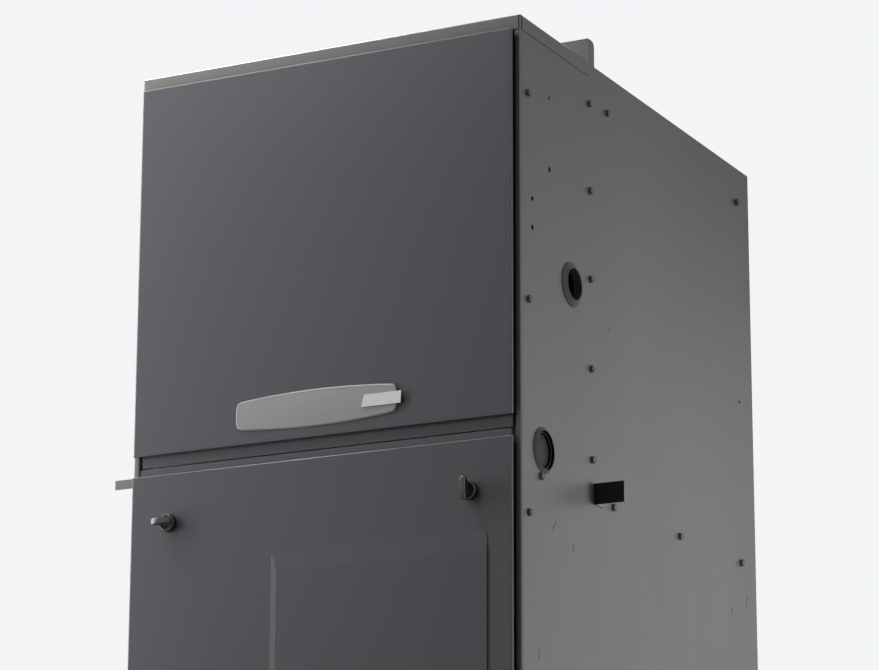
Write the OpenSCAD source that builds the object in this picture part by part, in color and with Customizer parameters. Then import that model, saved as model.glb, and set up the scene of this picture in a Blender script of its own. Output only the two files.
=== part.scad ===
// Forced air gas furnace, upflow, condensing type.
// Millimetres. +X is the right side, -Y the front with the doors, +Z is up.
// The origin is the centre of the cabinet's footprint, on the floor.

/* [Cabinet] */
// Width across the side panels
cabinet_w = 533.4; // [500:1:622]
// Depth from the front hems to the rear edge
cabinet_d = 720.7; // [700:1:760]
// Height from the floor to the top edge of the side panels
cabinet_h = 1016; // [1000:1:1060]
// Thickness of the cabinet and door sheet
sheet = 1; // [0.8:0.1:1.2]
// Outer radius of the bends in the sheet
bend_r = 3; // [2:0.5:4]
// Width of the hem that shows beside the doors
hem_w = 9; // [7:0.5:10]
// Depth of the hem, back to the flange that the doors seal on
hem_d = 10; // [9:0.5:12]
// How far the sealing flange reaches in from the side
landing_w = 30; // [24:1:34]
// Width of the flange turned in at the back
rear_flange_w = 18; // [12:1:24]
// Height of the front rail below the lower door
base_rail_h = 21; // [16:1:26]
// Width of the flange round the return air opening
base_flange_w = 28; // [20:1:40]
// Level of the blower deck
deck_z = 468; // [455:1:475]
// Depth of the burner compartment
vestibule_d = 203; // [195:1:215]
// Drop of the top cap's lips
cap_lip_h = 17.5; // [12:0.5:22]
// Height of the duct flange above the top
duct_flange_h = 33; // [20:1:40]
// Width of the flanges that carry the screws
screw_flange_w = 18; // [14:1:22]

/* [Doors] */
// Sight margin from a door's edge to the cabinet's side
door_margin = 6.1; // [5.5:0.1:7]
// How far the doors hang to the left of the middle
door_shift = 1.2; // [0:0.1:1.5]
// How far the upper door's face stands in front of the hems
upper_proud = 9.5; // [8:0.5:12]
// How far the lower door's face stands in front of the hems
lower_proud = 10.5; // [9:0.5:13]
// Level of the upper door's bottom edge
upper_door_z = 521.5; // [515:0.5:526]
// Level of the lower door's top bend
lower_door_top = 496; // [489:0.5:500]
// Height of the recessed strip on top of the lower door
joggle_h = 9; // [8:0.5:11]
// Gap between the strip and the upper door's tongue
door_gap = 2.5; // [1.5:0.5:4]
// Sight margin of the upper door's tongue
tongue_margin = 12.5; // [12:0.1:14]
// How far the tongue and the strip sit to the right of the middle
tongue_shift = 1.8; // [0:0.1:2]
// Width of the raised panel of the lower door
raised_w = 294.5; // [240:0.5:340]
// How far the raised panel stands out
raised_t = 1.5; // [1:0.5:4]
// Width of the slope on the raised panel's left side
raised_slope = 13.6; // [6:0.1:20]
// Length of the slope at the raised panel's top and bottom
raised_ramp = 40; // [20:1:50]

/* [Latches] */
// Height of the latches above the floor
latch_z = 433.5; // [420:0.5:440]
// Distance between the latches
latch_pitch = 411; // [404:1:416]
// Radius of the latch boss
latch_boss_r = 11; // [10:0.5:15]
// Length of the latch wing
latch_wing_l = 29; // [26:1:40]
// Thickness of the latch wing
latch_wing_t = 8; // [6:0.5:12]
// How far the wing stands out of the door
latch_reach = 22; // [18:1:32]
// Radius of the latch shaft
latch_shaft_r = 5; // [4:0.5:6]
// Length of the cam behind the door
cam_l = 44; // [41:1:46]

/* [Nameplate] */
// Width of the bare nameplate
plate_w = 221; // [180:1:260]
// Height of the nameplate at its middle
plate_h = 46; // [40:1:52]
// How much its long edges bow
plate_bow = 6; // [3:0.5:8]
// Height of its centre above the floor
plate_z = 557; // [552:1:580]
// Sideways place of its centre
plate_x = -3.1; // [-20:0.1:20]

/* [Side openings] */
// Distance of the gas entry behind the front
gas_y = 140; // [130:1:150]
// Height of the gas entry
gas_z = 714; // [700:1:730]
// Distance of the drain entry behind the front
drain_y = 58; // [55:1:66]
// Height of the drain entry above the blower deck
drain_rise = 22; // [22:1:30]
// Radius of the entry holes
entry_r = 21.5; // [20:0.5:21.5]
// Outer radius of the grommets and plugs
grommet_r = 28; // [27:0.1:28.2]
// Radius of the way through the gas grommet
gas_bore_r = 19.5; // [14:0.5:19.5]

/* [Heat exchanger] */
// Number of burners and primary tubes
cells = 5; // [4:1:5]
// Distance between the primary tubes
cell_pitch = 74; // [64:1:76]
// Outer radius of the primary tubes
cell_r = 22; // [18:0.5:24]
// Wall of the primary tubes
cell_wall = 1.2; // [1:0.1:1.6]
// Drop of the tubes' inlets below the top
cell_drop = 86; // [81:1:96]
// Radius of the U bends
cell_bend_r = 45; // [40:1:48]
// Number of secondary tubes in a row
coil_columns = 10; // [8:1:11]
// Number of secondary tube rows
coil_rows = 3; // [2:1:3]
// Outer radius of the secondary tubes
coil_tube_r = 7; // [5:0.5:8]
// Distance between the fins
fin_pitch = 12; // [10:1:20]

/* [Blower] */
// Outer radius of the blower wheel
wheel_r = 133; // [125:1:136]
// Width of the blower wheel
wheel_w = 250; // [220:1:256]
// Number of blades on each half
blade_count = 40; // [32:1:48]
// Width of the blower housing
scroll_w = 280; // [270:1:300]
// Least radius of the scroll
scroll_r0 = 150; // [145:1:156]
// Greatest radius of the scroll
scroll_r1 = 222; // [212:1:226]
// Height of the wheel's axis
wheel_z = 236; // [230:1:240]
// Distance of the wheel's axis behind the cabinet's middle
wheel_y = 40; // [20:1:60]
// Radius of the blower motor
motor_r = 70; // [60:1:72]
// Length of the blower motor
motor_l = 122; // [100:1:130]
// Radius of the blower shaft
shaft_r = 6.35; // [6:0.05:8]

/* [Vent] */
// Distance of the vent from the left side
vent_inset = 44.7; // [41:0.1:52]
// Distance of the vent and intake behind the front
vent_y = 108; // [100:1:115]
// Outer radius of the vent pipe
vent_r = 30.15; // [28:0.05:31]
// Distance of the air intake from the middle, to the right
intake_x = 100; // [80:1:120]

/* [Hidden] */
$fn = 48;

BEND_STEPS = 4;
FIT = 0.05;
CLEAR = 0.3;
PAINT = "#55575b";
CABINET = "#6e6e6c";
GALV = "#a9abab";
BLACK = "#1a1a1b";

front = -cabinet_d / 2;
back = cabinet_d / 2;
right = cabinet_w / 2;
inner = right - sheet;
vest_y = front + vestibule_d;
door_w = cabinet_w - 2 * door_margin;
joggle_top = lower_door_top + joggle_h;
tongue_z = joggle_top + door_gap;
upper_door_top = cabinet_h - cap_lip_h + 0.5;
lower_door_z = base_rail_h + 1.5;
lip_t = sheet;
drain_z = deck_z + drain_rise;
deck_screw_z = deck_z - 11;
rear_in = back - max(bend_r, 2 * sheet) - 0.2;
rail_y = front + hem_d + 4.5;
rail_d = 18;
seal_y0 = front - 0.7;
seal_y1 = front + hem_d - 0.4;
liner_y = front - 0.7 - sheet;
cell_z = cabinet_h - cell_drop;
vent_x = right - vent_inset;

// ---------------------------------------------------------------- helpers

function unit(v) = v / norm(v);

// An arc of the given radius in place of the corner a-b-c of a path
function corner_arc(a, b, c, r) =
    let (u = unit(a - b), v = unit(c - b), half = acos(u * v) / 2,
        start = b + u * r / tan(half), centre = b + unit(u + v) * r / sin(half),
        stop = b + v * r / tan(half),
        a0 = atan2(start.y - centre.y, start.x - centre.x),
        a1 = atan2(stop.y - centre.y, stop.x - centre.x),
        sweep = (a1 - a0 + 540) % 360 - 180)
    [for (i = [0:BEND_STEPS])
        centre + r * [cos(a0 + sweep * i / BEND_STEPS), sin(a0 + sweep * i / BEND_STEPS)]];

// A path whose inner corners are bent to one radius
function bent(p, r) = concat([p[0]],
    [for (i = [1:len(p) - 2]) each corner_arc(p[i - 1], p[i], p[i + 1], r)],
    [p[len(p) - 1]]);

// The left-hand normal of a path at point i, long enough to keep the thickness
function left_normal(p, i) =
    let (last = len(p) - 1,
        d0 = unit(p[max(i, 1)] - p[max(i, 1) - 1]),
        d1 = unit(p[min(i, last - 1) + 1] - p[min(i, last - 1)]),
        n0 = [-d0.y, d0.x], n1 = [-d1.y, d1.x])
    (n0 + n1) / (1 + n0 * n1);

// Closed outline of a sheet that lies on the left of a path
function sheet_outline(p, t) = concat(p,
    [for (i = [len(p) - 1:-1:0]) p[i] + left_normal(p, i) * t]);

// Closed outline of a rounded rectangle from (x0, y0) to (x1, y1)
function round_rect(x0, y0, x1, y1, r) =
    let (p = [[x0, y0], [x1, y0], [x1, y1], [x0, y1]])
    [for (i = [0:3]) each corner_arc(p[(i + 3) % 4], p[i], p[(i + 1) % 4], r)];

// An XY outline drawn up from z0 to z1
module upright(outline, z0, z1) {
    translate([0, 0, z0])
        linear_extrude(z1 - z0)
            polygon(outline);
}

// A YZ outline drawn from x0 to x1
module across(outline, x0, x1) {
    translate([x0, 0, 0])
        rotate([90, 0, 90])
            linear_extrude(x1 - x0)
                polygon(outline);
}

// An XZ outline drawn from y0 back to y1
module rearward(outline, y0, y1) {
    translate([0, y1, 0])
        rotate([90, 0, 0])
            linear_extrude(y1 - y0)
                polygon(outline);
}

// A box between two corners
module block(a, b) {
    translate(a)
        cube(b - a);
}

// A cylinder from a point along an axis "x", "y" or "z"
module rod(p, axis, length, r) {
    translate(p)
        rotate(axis == "x" ? [0, 90, 0] : axis == "y" ? [-90, 0, 0] : [0, 0, 0])
            cylinder(h = length, r = r);
}

// A tube from a point along an axis
module pipe(p, axis, length, r, bore) {
    translate(p)
        rotate(axis == "x" ? [0, 90, 0] : axis == "y" ? [-90, 0, 0] : [0, 0, 0])
            difference() {
                cylinder(h = length, r = r);
                translate([0, 0, -1])
                    cylinder(h = length + 2, r = bore);
            }
}

// The right-hand half of what both sides have, or its mirror image
module on_side(side) {
    if (side > 0) children();
    else mirror([1, 0, 0]) children();
}

// Catmull-Rom point between p1 and p2
function curve_point(p0, p1, p2, p3, t) = 0.5 * (2 * p1 + (p2 - p0) * t
    + (2 * p0 - 5 * p1 + 4 * p2 - p3) * t * t + (3 * p1 - p0 - 3 * p2 + p3) * t * t * t);

// A smooth line through hand-chosen points, with n steps to a span
function smooth(p, n) = concat([for (i = [0:len(p) - 2], j = [0:n - 1])
    curve_point(p[max(i - 1, 0)], p[i], p[i + 1], p[min(i + 2, len(p) - 1)], j / n)],
    [p[len(p) - 1]]);

function tangent(p, i) = unit(p[min(i + 1, len(p) - 1)] - p[max(i - 1, 0)]);

// A normal carried along the line without twisting
function carried(p, i) = i == 0
    ? let (t = tangent(p, 0), a = abs(t.z) < 0.9 ? [0, 0, 1] : [1, 0, 0]) unit(a - t * (a * t))
    : let (t = tangent(p, i), a = carried(p, i - 1)) unit(a - t * (a * t));

// A hose swept along a smooth line
module hose(points, r, sides, steps) {
    line = smooth(points, steps);
    n = len(line);
    ring = [for (i = [0:n - 1])
        let (t = tangent(line, i), u = carried(line, i), v = cross(t, u))
        for (k = [0:sides - 1]) line[i] + r * (u * cos(k * 360 / sides) + v * sin(k * 360 / sides))];
    polyhedron(ring, concat(
        [[for (k = [0:sides - 1]) k]],
        [[for (k = [sides - 1:-1:0]) (n - 1) * sides + k]],
        [for (i = [0:n - 2], k = [0:sides - 1])
            [i * sides + k, (i + 1) * sides + k,
                (i + 1) * sides + (k + 1) % sides, i * sides + (k + 1) % sides]]));
}

// ---------------------------------------------------------------- cabinet

vest_screw_pitch = (cabinet_h - deck_z - 92) / 4;
vest_screws = [for (i = [0:4]) [vestibule_d - screw_flange_w / 2, deck_z + 38 + i * vest_screw_pitch]];
deck_screw_pitch = (cabinet_d - 105.1) / 3;
deck_screws = [for (i = [0:3]) [49.7 + i * deck_screw_pitch, deck_screw_z + i * 1.6]];
hem_screw_pitch = (cabinet_h - 245) / 3;
hem_screws = [for (i = [0:3]) [18, 151 + i * hem_screw_pitch]];
rim_screws = [for (y = [vestibule_d + 45, cabinet_d - 47.7]) [y, cabinet_h - 50]];
side_screw_places = concat(vest_screws, deck_screws, hem_screws, rim_screws);
// Pilot holes as [distance behind the front, height, radius]
pilot_holes = [[79, cabinet_h - 82, 2.2], [79, cabinet_h - 173, 3.2], [31, cabinet_h - 223, 3.2],
    [31, cabinet_h - 259, 3.2], [cabinet_d - 48.7, deck_z + 216, 2.2]];
// Slots as [distance behind the front, height, tilt, length, width]
slot_places = [[86, deck_z - 63, -40, 17, 2.2], [138, deck_z - 81, 8, 10.5, 3.5],
    [vestibule_d + 46, deck_z + 214, 8, 7, 3.2], [cabinet_d - 89.7, deck_z - 77, 4, 8.5, 4],
    [cabinet_d - 37.7, deck_z - 56, -14, 16, 2.6], [42, deck_z - 223, 0, 11, 5]];

// Closed outline of a slot with round ends, upright at the origin
function slot_outline(l, w) = concat(
    [for (i = [0:6]) [w / 2 * cos(i * 30), l / 2 - w / 2 + w / 2 * sin(i * 30)]],
    [for (i = [6:12]) [w / 2 * cos(i * 30), w / 2 - l / 2 + w / 2 * sin(i * 30)]]);

// Closed side of the cabinet with its front hem, sealing flange and rear flange
module side_panel(side) {
    d = cabinet_d;
    path = bent([[-landing_w, hem_d], [-hem_w, hem_d], [-hem_w, 0], [0, 0],
        [0, d], [-rear_flange_w, d]], bend_r);
    color(CABINET)
        on_side(side)
            translate([right, front, 0])
                difference() {
                    upright(sheet_outline(path, sheet), 0, cabinet_h);
                    for (p = [[gas_y, gas_z], [drain_y, drain_z]])
                        rod([-sheet - 5, p.x, p.y], "x", sheet + 10, entry_r);
                    for (p = pilot_holes)
                        rod([-sheet - 5, p.x, p.y], "x", sheet + 10, p[2]);
                    for (p = slot_places)
                        translate([0, p.x, p.y])
                            rotate([p.z, 0, 0])
                                across(slot_outline(p[3], p[4]), -5, 5);
                }
}

module back_panel() {
    y1 = back - sheet;
    x = inner - bend_r + sheet - 0.2;
    color(CABINET)
        block([-x, y1 - sheet, 0], [x, y1, cabinet_h]);
}

// Floor flange round the return air opening, with the rail under the lower door
module base_frame() {
    f = base_flange_w;
    y0 = front + hem_d + sheet;
    y1 = rear_in;
    rail = bent([[rail_y + rail_d, base_rail_h], [rail_y, base_rail_h], [rail_y, sheet / 2],
        [rail_y + rail_d, sheet / 2]], bend_r);
    color(GALV) {
        difference() {
            block([-inner, y0, 0], [inner, y1, sheet]);
            block([-inner + f, y0 + f, -1], [inner - f, y1 - f, sheet + 1]);
        }
        across(sheet_outline(rail, -sheet), -inner, inner);
    }
}

// Cross member behind the split of the doors
module mid_rail() {
    z0 = deck_z - screw_flange_w;
    z1 = upper_door_z + 16;
    path = bent([[rail_y + rail_d, z1], [rail_y, z1], [rail_y, z0], [rail_y + rail_d, z0]], bend_r);
    color(GALV)
        difference() {
            across(sheet_outline(path, sheet), -inner, inner);
            block([switch_x - 9, rail_y - 5, switch_z - 9], [switch_x + 9, rail_y + 5, switch_z + 9]);
        }
}

// Top plate over the burner compartment, with its front and side lips
module top_cap() {
    y0 = front - lip_t;
    y1 = front + vestibule_d - screw_flange_w / 2 - 1;
    z1 = cabinet_h + sheet;
    z0 = cabinet_h - cap_lip_h;
    x1 = right + lip_t;
    color(CABINET)
        difference() {
            intersection() {
                upright(round_rect(-x1, y0, x1, y1 + 20, bend_r), z0, z1);
                across([[y0, z0], [y1, z0], [y1, z1], [y0 + bend_r / 2, z1], [y0, z1 - bend_r / 2]],
                    -x1, x1);
                rearward([[-x1, z0], [x1, z0], [x1, z1 - bend_r / 2], [x1 - bend_r / 2, z1],
                    [bend_r / 2 - x1, z1], [-x1, z1 - bend_r / 2]], y0, y1);
            }
            upright(round_rect(-right, front, right, y1 + 20, bend_r), z0 - 1, cabinet_h);
            for (s = [-1, 1])
                on_side(s)
                    block([right - bend_r, y0 - 1, z0 - 1], [x1 + 1, front + bend_r, cabinet_h]);
            rod([-vent_x, front + vent_y, z0], "z", 2 * cap_lip_h, coupling_r);
            rod([intake_x, front + vent_y, z0], "z", 2 * cap_lip_h, coupling_r);
        }
}

// Ledge round the supply air opening, flush with the top of the side panels
module supply_air_rim() {
    y0 = vest_y + screw_flange_w / 2 + CLEAR;
    y1 = rear_in;
    w = 19;
    z1 = cabinet_h;
    leg = bent([[w, z1], [0, z1], [0, z1 - 62]], bend_r);
    color(GALV) {
        for (side = [-1, 1])
            on_side(side)
                rearward([for (p = sheet_outline(leg, sheet)) [inner - p.x, p.y]], y0, y1);
        translate([0, y1, 0])
            across([for (p = sheet_outline(leg, sheet)) [-p.x, p.y]], w - inner, inner - w);
    }
}

// Upright flange that the supply duct hooks on
module duct_flange() {
    y0 = front + vestibule_d - screw_flange_w / 2;
    y1 = y0 + screw_flange_w;
    z0 = cabinet_h + CLEAR / 3;
    z1 = cabinet_h + duct_flange_h;
    foot = bent([[y0, z1], [y0, z0], [y1, z0]], 1.5);
    side = concat([[y0, z0], [y1, z0]], corner_arc([y1, z0], [y1, z1], [y0, z1], 7), [[y0, z1]]);
    color(CABINET) {
        across(sheet_outline(foot, sheet), -right, right);
        for (s = [-1, 1])
            on_side(s)
                across(side, right - sheet, right);
    }
}

// Panel between the burner compartment and the heat exchanger
module vestibule_panel() {
    z0 = deck_z;
    z1 = cabinet_h - 0.5;
    path = bent([[inner, vest_y - screw_flange_w], [inner, vest_y], [-inner, vest_y],
        [-inner, vest_y - screw_flange_w]], bend_r);
    color(GALV)
        difference() {
            upright(sheet_outline(path, sheet), z0, z1);
            for (x = cell_places)
                rod([x, vest_y - 5, cell_z], "y", 10, cell_r + FIT);
            for (x = coil_x_places, z = coil_z_places)
                rod([x, vest_y - 5, z], "y", 10, coil_tube_r + FIT);
        }
}

// Deck that carries the blower, with its discharge opening
module blower_deck() {
    y0 = rail_y + rail_d;
    y1 = rear_in;
    path = bent([[inner, deck_z - screw_flange_w], [inner, deck_z], [-inner, deck_z],
        [-inner, deck_z - screw_flange_w]], bend_r);
    color(GALV)
        difference() {
            rearward(sheet_outline(path, sheet), y0, y1);
            block([-outlet_x, outlet_y0, deck_z - 20], [outlet_x, outlet_y1, deck_z + 10]);
            rod([box_x1 - 15, box_y - 23, deck_z - 5], "z", 10, 9);
        }
}

// Hex washer head screws through both side panels
module side_screws() {
    head_r = 4.6;
    washer_r = 5;
    color(GALV)
        for (side = [-1, 1], p = side_screw_places)
            on_side(side) {
                rod([right, front + p.x, p.y], "x", 1.2, washer_r);
                translate([right + 1.2, front + p.x, p.y])
                    rotate([0, 90, 0])
                        cylinder(h = 3.2, r = head_r, $fn = 6);
            }
}

tab_t = 1.6;

// Flat steel tab that stands out of the right side
module right_side_tab() {
    y = front + vestibule_d - 3;
    z = deck_z - 3;
    half_h = 13;
    reach = 40;
    path = bent([[right + reach, y], [right, y], [right, y + 24]], 2);
    color(BLACK)
        upright(sheet_outline(path, -tab_t), z - half_h, z + half_h);
}

// Small steel tab that stands out of the left side near the front
module left_side_tab() {
    y = front + 28;
    z = deck_z + 30;
    half_h = 5.75;
    reach = 43;
    path = bent([[-right - reach, y], [-right, y], [-right, y - 20]], 2);
    color(CABINET)
        upright(sheet_outline(path, -tab_t), z - half_h, z + half_h);
}

// A profile of radius and height, revolved round an entry hole on the +X side
module entry_form(profile) {
    rotate([0, 90, 0])
        rotate_extrude()
            polygon(concat([[entry_r - CLEAR, -6], [entry_r - CLEAR, 0.1],
                [grommet_r, 0.1], [grommet_r, 1.1]], profile));
}

// Grommet that rises in a cone to the rim of its bore
module entry_ring(bore) {
    rise = 5;
    entry_form(concat([[bore + 4, 3.4]],
        [for (i = [0:4]) [bore + 1.5 - 1.5 * sin(i * 22.5), rise - 1.5 + 1.5 * cos(i * 22.5)]],
        [[bore, -6]]));
}

// Plug with a raised rim and a sunk floor
module entry_plug() {
    floor_r = entry_r - 1.3;
    entry_form([[26, 1.9], [25, 3], [24.3, 3.4], [23.6, 3.2], [floor_r + 0.1, -0.2], [floor_r, -3],
        [0, -3], [0, -6]]);
}

module gas_grommet() {
    color(BLACK)
        translate([right, front + gas_y, gas_z])
            entry_ring(gas_bore_r);
}

// Plugs in the two entries that aren't in use
module side_plugs() {
    color("#4a4b4d") {
        translate([right, front + drain_y, drain_z])
            entry_plug();
        translate([-right, front + gas_y, gas_z])
            rotate([0, 0, 180])
                entry_plug();
    }
}

// Grommet on the left that the drain hose leaves through
module drain_grommet() {
    color(BLACK)
        on_side(-1)
            translate([right, front + drain_y, drain_z])
                entry_ring(drain_bore_r);
}
drain_bore_r = 11;

// ---------------------------------------------------------------- doors

skin_return = 3;

// A door's outer form: rounded where the face meets the returns
module door_form(x, z0, z1, y_face, depth, r) {
    intersection() {
        upright(concat([[x, y_face + depth], [-x, y_face + depth]],
            corner_arc([-x, y_face + depth], [-x, y_face], [x, y_face], r),
            corner_arc([-x, y_face], [x, y_face], [x, y_face + depth], r)), z0, z1);
        across(concat([[y_face + depth, z0]],
            corner_arc([y_face + depth, z0], [y_face, z0], [y_face, z1], r),
            corner_arc([y_face, z0], [y_face, z1], [y_face + depth, z1], r),
            [[y_face + depth, z1]]), -x, x);
    }
}

// A pan of sheet with short returns all round
module door_pan(x, z0, z1, y_face) {
    difference() {
        door_form(x, z0, z1, y_face, skin_return, bend_r - 0.5);
        door_form(x - sheet, z0 + sheet, z1 - sheet, y_face + sheet, skin_return, bend_r - 0.5 - sheet / 2);
    }
}

module upper_door_skin() {
    color(PAINT)
        translate([-door_shift, 0, 0])
            door_pan(door_w / 2, upper_door_z, upper_door_top, front - upper_proud);
}

core_margin = door_margin + 5;

module upper_door_core() {
    x = right - core_margin;
    color(BLACK)
        block([-x, front - upper_proud + sheet, upper_door_z + 4],
            [x, liner_y, upper_door_top - 4]);
}

// Inner plate of the upper door; its lower edge is the tongue between the doors
module upper_door_liner() {
    x = right - tongue_margin;
    color(PAINT)
        block([tongue_shift - x, liner_y, tongue_z], [tongue_shift + x, liner_y + sheet, upper_door_top - 4]);
}

seal_margin = hem_w + 4;
seal_w = 11;

module seal_ring(z0, z1) {
    x = right - seal_margin;
    difference() {
        block([-x, seal_y0, z0], [x, seal_y1, z1]);
        block([-x + seal_w, seal_y0 - 1, z0 + seal_w], [x - seal_w, seal_y1 + 1, z1 - seal_w]);
    }
}

module upper_door_seal() {
    color(BLACK)
        seal_ring(upper_door_z + 1, upper_door_top - 4);
}

raised_x1 = right - 39.7;
raised_x0 = raised_x1 - raised_w;
raised_z0 = lower_door_z + 22;
raised_z1 = lower_door_top - 135 + raised_ramp;

// The raised middle of the lower door: sloped left side, sharp right side, soft ends
module raised_form(grow, y_face) {
    y = y_face - raised_t + grow;
    foot = y_face + sheet + grow;
    s = raised_slope;
    intersection() {
        upright([[raised_x0 + grow, foot], [raised_x0 + s + grow, y],
            [raised_x1 - grow, y], [raised_x1 - grow, foot]], raised_z0, raised_z1);
        across([[foot, raised_z0 + grow], [y, raised_z0 + raised_ramp + grow],
            [y, raised_z1 - raised_ramp - grow], [foot, raised_z1 - grow]],
            raised_x0, raised_x1);
    }
}

latch_hole_r = latch_shaft_r + FIT;

module latch_holes(r) {
    for (s = [-1, 1])
        rod([s * latch_pitch / 2 - door_shift, front - 30, latch_z], "y", 60, r);
}

// Outer sheet of the lower door with its raised panel and recessed top strip
module lower_door_skin() {
    y_face = front - lower_proud;
    x = door_w / 2;
    y_strip = y_face + 5;
    x1 = tongue_shift + right - tongue_margin;
    x0 = tongue_shift - right + tongue_margin;
    z0 = lower_door_top - sheet;
    color(PAINT)
        difference() {
            union() {
                translate([-door_shift, 0, 0])
                    door_pan(x, lower_door_z, lower_door_top, y_face);
                block([x0, y_face + 1, z0], [x1, y_strip + sheet, lower_door_top]);
                rearward(concat([[x1, z0], [x0, z0]],
                    corner_arc([x0, z0], [x0, joggle_top], [x1, joggle_top], 2.5),
                    corner_arc([x0, joggle_top], [x1, joggle_top], [x1, z0], 2.5)),
                    y_strip, y_strip + sheet);
                raised_form(0, y_face);
            }
            raised_form(sheet, y_face);
            latch_holes(latch_hole_r);
        }
}

module lower_door_core() {
    x = right - core_margin;
    y_face = front - lower_proud + sheet;
    color(BLACK)
        difference() {
            block([-x, y_face + 0.1, lower_door_z + 4], [x, liner_y, lower_door_top - 5]);
            latch_holes(latch_shaft_r + 1.5);
        }
}

module lower_door_liner() {
    x = right - tongue_margin;
    color(GALV)
        difference() {
            block([-x, liner_y, lower_door_z + 3], [x, liner_y + sheet, lower_door_top - 5]);
            latch_holes(latch_shaft_r + 1.5);
        }
}

module lower_door_seal() {
    color(BLACK)
        seal_ring(lower_door_z + 3, lower_door_top - 5);
}

// ---------------------------------------------------------------- nameplate

// Closed outline of the boat-shaped plate, shrunk by the given amount
function plate_outline(in) =
    let (hw = plate_w / 2 - in, hh = plate_h / 2 - in,
        r = (hw * hw + plate_bow * plate_bow) / (2 * plate_bow),
        a = asin(hw / r), end_h = hh - plate_bow, c = 5.5)
    concat(
        [for (i = [-6:6]) [r * sin(a * (1 - c / hw) * i / 6), r * cos(a * (1 - c / hw) * i / 6) - r + hh]],
        [[hw - c * 0.3, end_h - c * 0.3], [hw, end_h - c], [hw + 0.8, 0], [hw, c - end_h],
            [hw - c * 0.3, c * 0.3 - end_h]],
        [for (i = [6:-1:-6]) [r * sin(a * (1 - c / hw) * i / 6), r - hh - r * cos(a * (1 - c / hw) * i / 6)]],
        [[c * 0.3 - hw, c * 0.3 - end_h], [-hw, c - end_h], [-hw - 0.8, 0], [-hw, end_h - c],
            [c * 0.3 - hw, end_h - c * 0.3]]);

plate_y = front - upper_proud;
plate_t = 3.2;

// Bare plate with a gently domed face
module nameplate() {
    dome_r = 190;
    color("#8f9191")
        translate([plate_x, 0, plate_z])
            intersection() {
                rearward(plate_outline(0), plate_y - plate_t, plate_y - 0.1);
                translate([0, plate_y - plate_t + dome_r, 0])
                    rotate([0, 90, 0])
                        cylinder(h = plate_w + 10, r = dome_r, center = true, $fn = 360);
            }
}

// Bare slanted tag that overhangs the plate's right end
module nameplate_tag() {
    x1 = plate_x + plate_w / 2 + 6.5;
    x0 = x1 - 50;
    z0 = plate_z - 8;
    z1 = plate_z + 7;
    color("#a8a9a9")
        rearward([[x0 - 3, z0], [x1, z0], [x1 + 1, z1], [x0 + 1, z1]],
            plate_y - plate_t - 1.6, plate_y - plate_t - CLEAR / 3);
}

// ---------------------------------------------------------------- latches

// Knob with its boss, wing and shaft, drawn at the origin with the wing along Z
module latch_knob(y_face) {
    shaft_end = front + 15.5;
    r = latch_boss_r;
    l = latch_wing_l / 2;
    t = latch_wing_t / 2;
    translate([0, y_face - CLEAR, 0])
        rotate([90, 0, 0])
            rotate_extrude()
                polygon([[0, 0], [r, 0], [r, 5.5], [r - 0.8, 6.9], [r - 2, 7.5], [r - 3, 7.5],
                    [r - 3.6, 6.6], [0, 6.6]]);
    rod([0, y_face - 7, 0], "y", shaft_end - y_face + 7, latch_shaft_r);
    intersection() {
        rearward(round_rect(-t, -l, t, l, 2), y_face - latch_reach, y_face - 6);
        across([[y_face - 5, -r + 2], [y_face - 10, -r + 1], [y_face - latch_reach, -l],
            [y_face - latch_reach, l], [y_face - 10, r - 1], [y_face - 5, r - 2]], -t, t);
    }
}

module latch_cam() {
    y0 = front + 12.2;
    difference() {
        rearward(concat(
            [for (i = [0:12]) 11 * [cos(i * 15), sin(i * 15)]],
            corner_arc([-11, 0], [-7, -cam_l], [7, -cam_l], 4),
            corner_arc([-7, -cam_l], [7, -cam_l], [11, 0], 4)), y0, y0 + 2.4);
        rod([0, y0 - 1, 0], "y", 5, latch_shaft_r + FIT / 5);
    }
}

latch_face_y = front - lower_proud;

module left_latch_knob() {
    color(BLACK)
        translate([-latch_pitch / 2 - door_shift, 0, latch_z])
            rotate([0, 90, 0])
                latch_knob(latch_face_y);
}

module left_latch_cam() {
    color(GALV)
        translate([-latch_pitch / 2 - door_shift, 0, latch_z])
            latch_cam();
}

module right_latch_knob() {
    color(BLACK)
        translate([latch_pitch / 2 - door_shift, 0, latch_z])
            latch_knob(latch_face_y);
}

module right_latch_cam() {
    color(GALV)
        translate([latch_pitch / 2 - door_shift, 0, latch_z])
            latch_cam();
}

// ---------------------------------------------------------------- heat exchanger

cell_places = [for (i = [0:cells - 1]) (i - (cells - 1) / 2) * cell_pitch];
cell_front = vest_y + 78;
cell_back = back - 4 - cell_bend_r - cell_r - 24;
header_y = back - 112;
cell_z2 = cell_z - 2 * cell_bend_r;
cell_z3 = cell_z - 4 * cell_bend_r;
coil_x_pitch = 38;
coil_z_pitch = 34;
coil_z0 = deck_z + 32;
coil_x_places = [for (i = [0:coil_columns - 1]) (i - (coil_columns - 1) / 2) * coil_x_pitch];
coil_z_places = [for (i = [0:coil_rows - 1]) coil_z0 + i * coil_z_pitch];
coil_x = (coil_columns - 1) / 2 * coil_x_pitch + 18;
coil_z1 = coil_z0 + (coil_rows - 1) * coil_z_pitch + 18;

// Half a turn of tube in the YZ plane, bulging towards +Y or -Y
module u_bend(x, y, z, bulge) {
    translate([x, y, z])
        rotate([bulge > 0 ? 0 : 180, 0, 0])
            rotate([0, 90, 0])
                rotate_extrude(angle = 180)
                    translate([cell_bend_r, 0])
                        difference() {
                            circle(r = cell_r);
                            circle(r = cell_r - cell_wall);
                        }
}

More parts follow.
